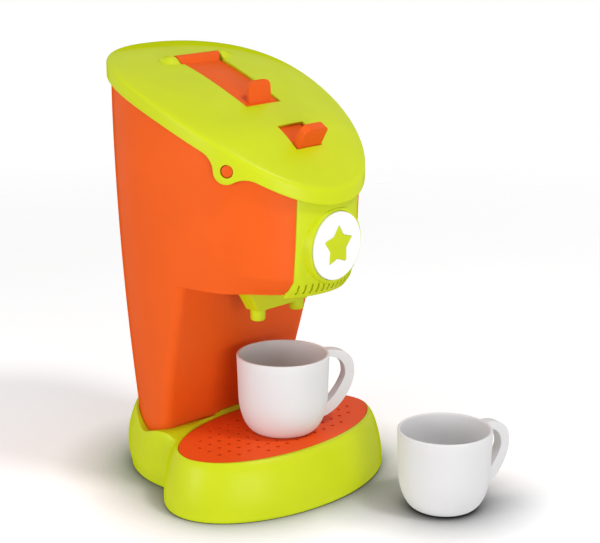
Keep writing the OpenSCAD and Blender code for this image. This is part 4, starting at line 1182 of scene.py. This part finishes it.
@dataclass
class BaseSet:
    """The lime base: front lobe with the grid's well, rear lobe as a collar round the column."""

    width: float = 160.7
    depth: float = 99.0
    lobe_y: float = 28.0
    rear_width: float = 112.0
    rear_reach: float = 76.0
    rear_y: float = 12.0
    middle_y: float = 4.0
    deck_z: float = 33.5
    floor_z: float = 18.0
    wall: float = 2.4
    blend: float = 24.0
    grid_w: float = 144.0
    grid_d: float = 76.0
    points: int = 200

    def top(self, y: float) -> float:
        """Height of the base's upper edge at a station."""
        saddle, collar, dip = self.deck_z + 2.5, self.deck_z + 8.5, 31.0
        return (self.deck_z + (saddle - self.deck_z) * ease(y / 8.0)
                + (collar - saddle) * ease((y - dip) / 34.0)
                - 5.0 * math.exp(-((y - dip) / 11.0) ** 2))

    def reach(self, angle: float, rx: float, ry: float, centre_y: float) -> float:
        """Distance from the ring's middle to an ellipse, in the direction of an angle."""
        c, s, d = math.cos(angle) / rx, math.sin(angle) / ry, (self.middle_y - centre_y) / ry
        p, q = c * c + s * s, s * d
        return (-q + math.sqrt(max(0.0, q * q - p * (d * d - 1.0)))) / p

    def profile(self, share: float) -> tuple[float, float, float]:
        """Insets of the front lobe, the rear sides and the rear back at a share of the height."""
        rows = [(0.0, 0.8, -0.8, 0.8), (0.03, 0.15, -0.1, 0.15), (0.06, 0.0, 0.0, 0.0), (0.3, 0.3, 1.6, -2.4),
                (0.55, 1.8, 2.0, -1.0), (0.78, 4.0, 2.0, 3.2), (0.92, 6.0, 1.6, 6.2), (1.0, 8.0, 0.9, 8.4)]
        for index, (low, high) in enumerate(zip(rows, rows[1:])):
            if share <= high[0]:
                before = rows[max(0, index - 1)]
                after = rows[min(len(rows) - 1, index + 2)]
                u, gap = (share - low[0]) / (high[0] - low[0]), high[0] - low[0]
                made = []
                for k in (1, 2, 3):
                    m0 = high[k] - low[k]
                    if index:
                        m0 = (high[k] - before[k]) / max(1e-6, high[0] - before[0]) * gap
                    m1 = (after[k] - low[k]) / max(1e-6, after[0] - low[0]) * gap
                    made.append((2 * u ** 3 - 3 * u ** 2 + 1) * low[k] + (u ** 3 - 2 * u ** 2 + u) * m0
                                + (3 * u ** 2 - 2 * u ** 3) * high[k] + (u ** 3 - u ** 2) * m1)
                return made[0], made[1], made[2]
        return rows[-1][1:]

    def ring(self, share: float, inset: float, flat_z: float | None = None,
             shrink: float = 1.0) -> list[Point]:
        """One level of the base.

        Args:
            share: Share of the height that gives the outline.
            inset: How far the outline is drawn in.
            flat_z: A level height that takes the place of the sloping one.
            shrink: Size of the ring as a share of the outline.

        Returns:
            The ring.
        """
        front_in, side_out, back_in = self.profile(share)
        made: list[Point] = []
        front_x, front_y = self.width / 2 - front_in - inset, self.depth / 2 - front_in - inset
        rear_x = self.rear_width / 2 + side_out - inset
        rear_y = self.rear_reach - self.rear_y - back_in - inset
        for a in circle(self.points):
            front = self.reach(a, front_x, front_y, -self.lobe_y)
            rear = self.reach(a, rear_x, rear_y, self.rear_y)
            most = max(front, rear)
            r = most * ((front / most) ** self.blend + (rear / most) ** self.blend) ** (1.0 / self.blend)
            edge_y = self.middle_y + r * math.sin(a)
            x, y = shrink * r * math.cos(a), self.middle_y + shrink * r * math.sin(a)
            z = share * self.top(edge_y) if flat_z is None else flat_z
            if shrink < 1.0:
                z = mix(self.top(y), self.top(edge_y), shrink)
            made.append((x, y, z))
        return made

    def oval(self, grow: float) -> list[Flat]:
        """Outline of the grid's oval, grown all round by half of an amount."""
        width, depth = self.grid_w + grow, self.grid_d + grow
        return [(width / 2 * math.cos(a), -self.lobe_y + depth / 2 * math.sin(a)) for a in circle(160)]

    def build(self, tub: Tub) -> None:
        """Models the base.

        Args:
            tub: The tub whose foot stands in the collar.
        """
        ceiling, pocket, gap = self.floor_z - self.wall, 60.0, 0.35
        rings = [[(0.0, self.middle_y, ceiling)] * self.points]
        rings += [self.ring(share, self.wall, z) for share, z in ((0.5, ceiling), (0.3, 9.0), (0.1, 3.0))]
        rings += [self.ring(0.0, self.wall - 0.3, 0.0)]
        shares = [0.0, 0.02, 0.04, 0.07] + [mix(0.1, 0.9, i / 16.0) for i in range(17)]
        shares += [0.93, 0.96, 0.98, 1.0]
        rings += [self.ring(share, 0.0) for share in shares]
        rings += [self.ring(1.0, 0.0, None, k) for k in (0.985, 0.96, 0.9, 0.8, 0.65, 0.5, 0.3, 0.15)]
        rings += [[(0.0, self.middle_y, self.top(self.middle_y))] * self.points]
        foot = [tub.end_ring(self.floor_z)]
        foot += [tub.column_ring(z, -gap) for z in (self.floor_z, self.deck_z, pocket)]
        foot += [tub.end_ring(pocket)]
        base = Bench.carve(Bench.skin("base_moulding", rings), Bench.skin("foot_pocket", foot),
                           Bench.slab("grid_seat", self.oval(0.8), self.deck_z - 2.4, pocket),
                           Bench.slab("well", self.oval(-12.0), self.floor_z, pocket))
        Bench.soften(base, 0.4, 2, 50.0)
        Bench.weld(base, Bench.block("rib", (-1.0, -73.0, 0.5), (1.0, 70.0, 16.0)),
                   Bench.block("rib", (-64.0, -1.0, 0.5), (64.0, 1.0, 16.0)),
                   Bench.rod("pad", 8.0, 0.0, 16.0))
        Bench.dress(base, LIME, "machine", "base_shell")


# ---------------------------------------------------------------- cups


@dataclass
class PlayCup:
    """A white play cup with an ear-shaped handle."""

    rim_r: float = 27.48
    height: float = 47.5
    foot_r: float = 15.5
    wall: float = 1.8
    handle_w: float = 7.0
    handle_reach: float = 17.4
    handle_foot: float = 5.5
    handle_root: float = 3.5
    handle_level: float = 0.65
    steps: int = 112

    def side(self, inset: float) -> list[Flat]:
        """Half-profile from the foot to the rim, drawn in by inset."""
        belly, foot, side = self.height * 0.5, self.foot_r - inset, self.rim_r - 0.8 - inset
        made = [(mix(foot, side, math.sin(a)), inset + (belly - inset) * (1.0 - math.cos(a)))
                for a in [math.pi / 2 * i / 16 for i in range(17)]]
        top = self.height - self.wall / 2.0
        return made + [(mix(side, self.rim_r - inset, i / 4.0), mix(belly, top, i / 4.0))
                       for i in range(1, 5)]

    def loop(self, half: float, rise: float, fall: float, up: float, down: float) -> list[Flat]:
        """Ear-shaped outline, full above its middle and hollow below it.

        Args:
            half: Half of its width.
            rise: Height above its middle.
            fall: Depth below its middle.
            up: Fullness above the middle, 2 is an ellipse.
            down: Fullness below the middle.

        Returns:
            The outline.
        """
        made: list[Flat] = []
        middle, level = self.rim_r - self.handle_root, self.height * self.handle_level
        for t in circle(72):
            n, reach = (up, rise) if math.sin(t) > 0 else (down, fall)
            across = math.copysign(abs(math.cos(t)) ** (2.0 / n), math.cos(t))
            along = math.copysign(abs(math.sin(t)) ** (2.0 / n), math.sin(t))
            made.append((middle + half * across, level + reach * along))
        return made

    def handle(self, turn: float) -> Piece:
        """The handle, cut to the cup's wall."""
        level, half = self.height * self.handle_level, self.handle_reach + self.handle_root
        rise, fall = self.height - level, level - self.handle_foot
        upright = Matrix.Rotation(math.radians(turn), 4, "Z") @ shift(0.0, self.handle_w / 2) @ QUARTER_X
        outline = self.loop(half, rise - 0.6, fall, 2.8, 1.6)
        handle = Bench.slab("handle", outline, 0.0, self.handle_w, upright)
        Bench.carve(handle, Bench.slab("gap", self.loop(half - 6.0, rise - 4.6, fall - 6.5, 2.5, 1.35),
                                       -1.0, self.handle_w + 1.0, upright))
        Bench.soften(handle, 1.7, 4, 60.0)
        mid, over = self.wall / 2.0, self.height + 4.0
        inside = [(0.0, self.wall - mid)] + self.side(mid) + [(self.rim_r - mid, over), (0.0, over)]
        return Bench.carve(handle, Bench.lathe("inside", inside, self.steps))

    def build(self, name: str, spot: Point, turn: float, node: str) -> None:
        """Models one cup.

        Args:
            name: Name of the piece and of the body it moves with.
            spot: Middle of the foot.
            turn: Direction of the handle in degrees.
            node: Node it stands for.
        """
        mid = self.wall / 2.0
        lip = arc(self.rim_r - mid, self.height - mid, mid, [math.pi * i / 8 for i in range(1, 8)])
        foot = [(0.0, 0.6), (11.5, 0.6), (12.2, 0.0), (14.6, 0.0)]
        profile = foot + self.side(0.0) + lip + self.side(self.wall)[::-1] + [(0.0, self.wall)]
        cup = Bench.weld(Bench.lathe(name, profile, self.steps), self.handle(turn))
        Bench.put(cup, shift(*spot))
        Bench.dress(cup, WHITE, name, node)


# ---------------------------------------------------------------- studio


@dataclass
class Studio:
    """Pale floor, soft lamps and the camera."""

    target: Point = (22.94, -26.74, 124.91)
    station: Point = (-661.9, -646.3, 366.6)
    lens: float = 96.0

    @staticmethod
    def mount(name: str, data: "bpy.types.Camera | bpy.types.Light", at: Vector, target: Vector) -> Piece:
        """Puts a camera or a lamp in its place, facing a target."""
        made = bpy.data.objects.new(name, data)
        bpy.context.scene.collection.objects.link(made)
        made.location = at
        made.rotation_euler = (target - at).to_track_quat("-Z", "Y").to_euler()
        return made

    def camera(self) -> None:
        """Places the camera."""
        data = bpy.data.cameras.new("camera")
        data.lens, data.sensor_width, data.clip_end = self.lens, 36.0, 20.0
        here, target = Vector(self.station) * MM, Vector(self.target) * MM
        bpy.context.scene.camera = self.mount("camera", data, here, target)

    def lamp(self, name: str, at: Point, size: float, power: float) -> None:
        """Adds one soft area lamp that faces the middle of the object."""
        data = bpy.data.lights.new(name, "AREA")
        data.shape, data.size, data.energy = "DISK", size, power
        self.mount(name, data, Vector(at), Vector((0.0, -0.03, 0.1)))

    def world(self) -> None:
        """White for what the camera and reflections see, softer as a light."""
        world = bpy.data.worlds.new("studio")
        bpy.context.scene.world = world
        wiring = Wiring(world, bare=True)
        path, out, blend = (wiring.add(kind) for kind in ("LightPath", "OutputWorld", "MixShader"))
        glow, white = (wiring.add("Background", {"Strength": power, "Color": (1.0, 1.0, 1.0, 1.0)})
                       for power in (0.5, 1.0))
        seen, more = (wiring.add("Math", operation="MAXIMUM") for _ in range(2))
        wiring.join((path, "Is Camera Ray", seen, 0), (path, "Is Glossy Ray", seen, 1), (seen, 0, more, 0),
                    (path, "Is Transmission Ray", more, 1), (more, 0, blend, "Fac"), (glow, 0, blend, 1),
                    (white, 0, blend, 2), (blend, 0, out, "Surface"))

    def floor(self) -> None:
        """Adds the pale floor, which fades into the white background.

        The camera sees painted shade on it where something stands close: ambient occlusion, squared, dims its
        colour and its faint painted glow. Other rays see one even tone.
        """
        Bench.clear()
        bpy.ops.mesh.primitive_circle_add(vertices=96, radius=2.2, fill_type="NGON",
                                          location=(0.0, 0.0, -0.0002))
        floor = bpy.context.active_object
        floor.name = "floor"
        made = bpy.data.materials.new("pale_floor")
        wiring = Wiring(made, bare=True)
        out, blend, both, matte, painted_glow, clear, place, path = (wiring.add(kind) for kind in (
            "OutputMaterial", "MixShader", "AddShader", "BsdfDiffuse", "Emission", "BsdfTransparent",
            "TexCoord", "LightPath"))
        # Painted shade: ambient occlusion, squared, greys the floor's colour for the camera where something
        # stands close.
        occlusion_shade = wiring.add("AmbientOcclusion", {"Distance": 0.05}, samples=16)
        deep = wiring.add("VectorMath", operation="MULTIPLY")
        bright = wiring.add("VectorMath", {"Scale": 1.2}, operation="SCALE")
        tone = wiring.add("MixRGB", {"Color1": (0.84, 0.84, 0.85, 1.0)})
        far = wiring.add("VectorMath", operation="LENGTH")
        reach = wiring.add("MapRange", {"From Min": 0.35, "From Max": 1.1}, interpolation_type="SMOOTHSTEP")
        # Painted glow: for camera rays the floor also emits its painted shade, at strength 0.12, though it is
        # no lamp.
        lift = wiring.add("Math", {1: 0.12}, operation="MULTIPLY")
        wiring.join((occlusion_shade, "Color", deep, 0), (occlusion_shade, "Color", deep, 1), (deep, "Vector", bright, 0),
                    (deep, "Vector", painted_glow, "Color"), (bright, "Vector", tone, "Color2"),
                    (tone, "Color", matte, "Color"), (path, "Is Camera Ray", lift, 0),
                    (path, "Is Camera Ray", tone, "Fac"), (lift, 0, painted_glow, "Strength"),
                    (place, "Object", far, 0),
                    (far, "Value", reach, "Value"), (reach, "Result", blend, "Fac"), (matte, 0, both, 0),
                    (painted_glow, 0, both, 1), (both, 0, blend, 1), (clear, 0, blend, 2), (blend, 0, out, "Surface"))
        floor.data.materials.append(made)

    def build(self) -> None:
        """Sets up the whole studio."""
        bpy.context.scene.view_settings.view_transform = "Standard"
        self.world()
        self.floor()
        self.lamp("key", (0.15, -0.85, 1.4), 0.3, 7.6)
        self.lamp("fill", (-0.55, -1.3, 0.07), 0.8, 8.0)
        self.lamp("side", (-1.3, 0.2, 0.35), 0.7, 6.0)
        self.camera()


def dress_frame_nodes() -> None:
    """Gives the nodes that are shown as they are their finishes."""
    metal = ("base_screws", "panel_screws", "spout_screws", "retainer_screws", "knob_screw", "knob_washer",
             "hinge_pin", "flap_pin")
    finishes: dict[str, Finish] = {"drip_grid": DECK_ORANGE, "slider_retainer": ORANGE}
    finishes |= {node: STEEL for node in metal}
    for node, finish in finishes.items():
        Bench.coat(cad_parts[node], finish)
        LOG.info("%s: finish %s", node, finish.name)


def main() -> None:
    """Builds the assemblies in order."""
    logging.basicConfig(level=logging.INFO, format="%(message)s")
    tub = Tub()
    studio = Studio()
    steps: list[tuple[str, Callable[[], None]]] = [
        ("studio", studio.build),
        ("tub", tub.build),
        ("panel", FrontPanel().build),
        ("knob", Knob().build),
        ("spouts", lambda: SpoutBlock().build(tub)),
        ("lid", lambda: LidSet().build(tub)),
        ("base", lambda: BaseSet().build(tub)),
        ("tray cup", lambda: PlayCup().build("tray_cup", (0.0, -34.0, 33.5), -25.0, "cup_on_tray")),
        ("side cup", lambda: PlayCup().build("side_cup", (35.0, -128.0, 0.0), -16.0, "cup_beside")),
        ("frame nodes", dress_frame_nodes),
    ]
    for name, step in steps:
        step()
        LOG.info("%s done", name)


if __name__ == "__main__":
    main()
    bpy.context.view_layer.update()
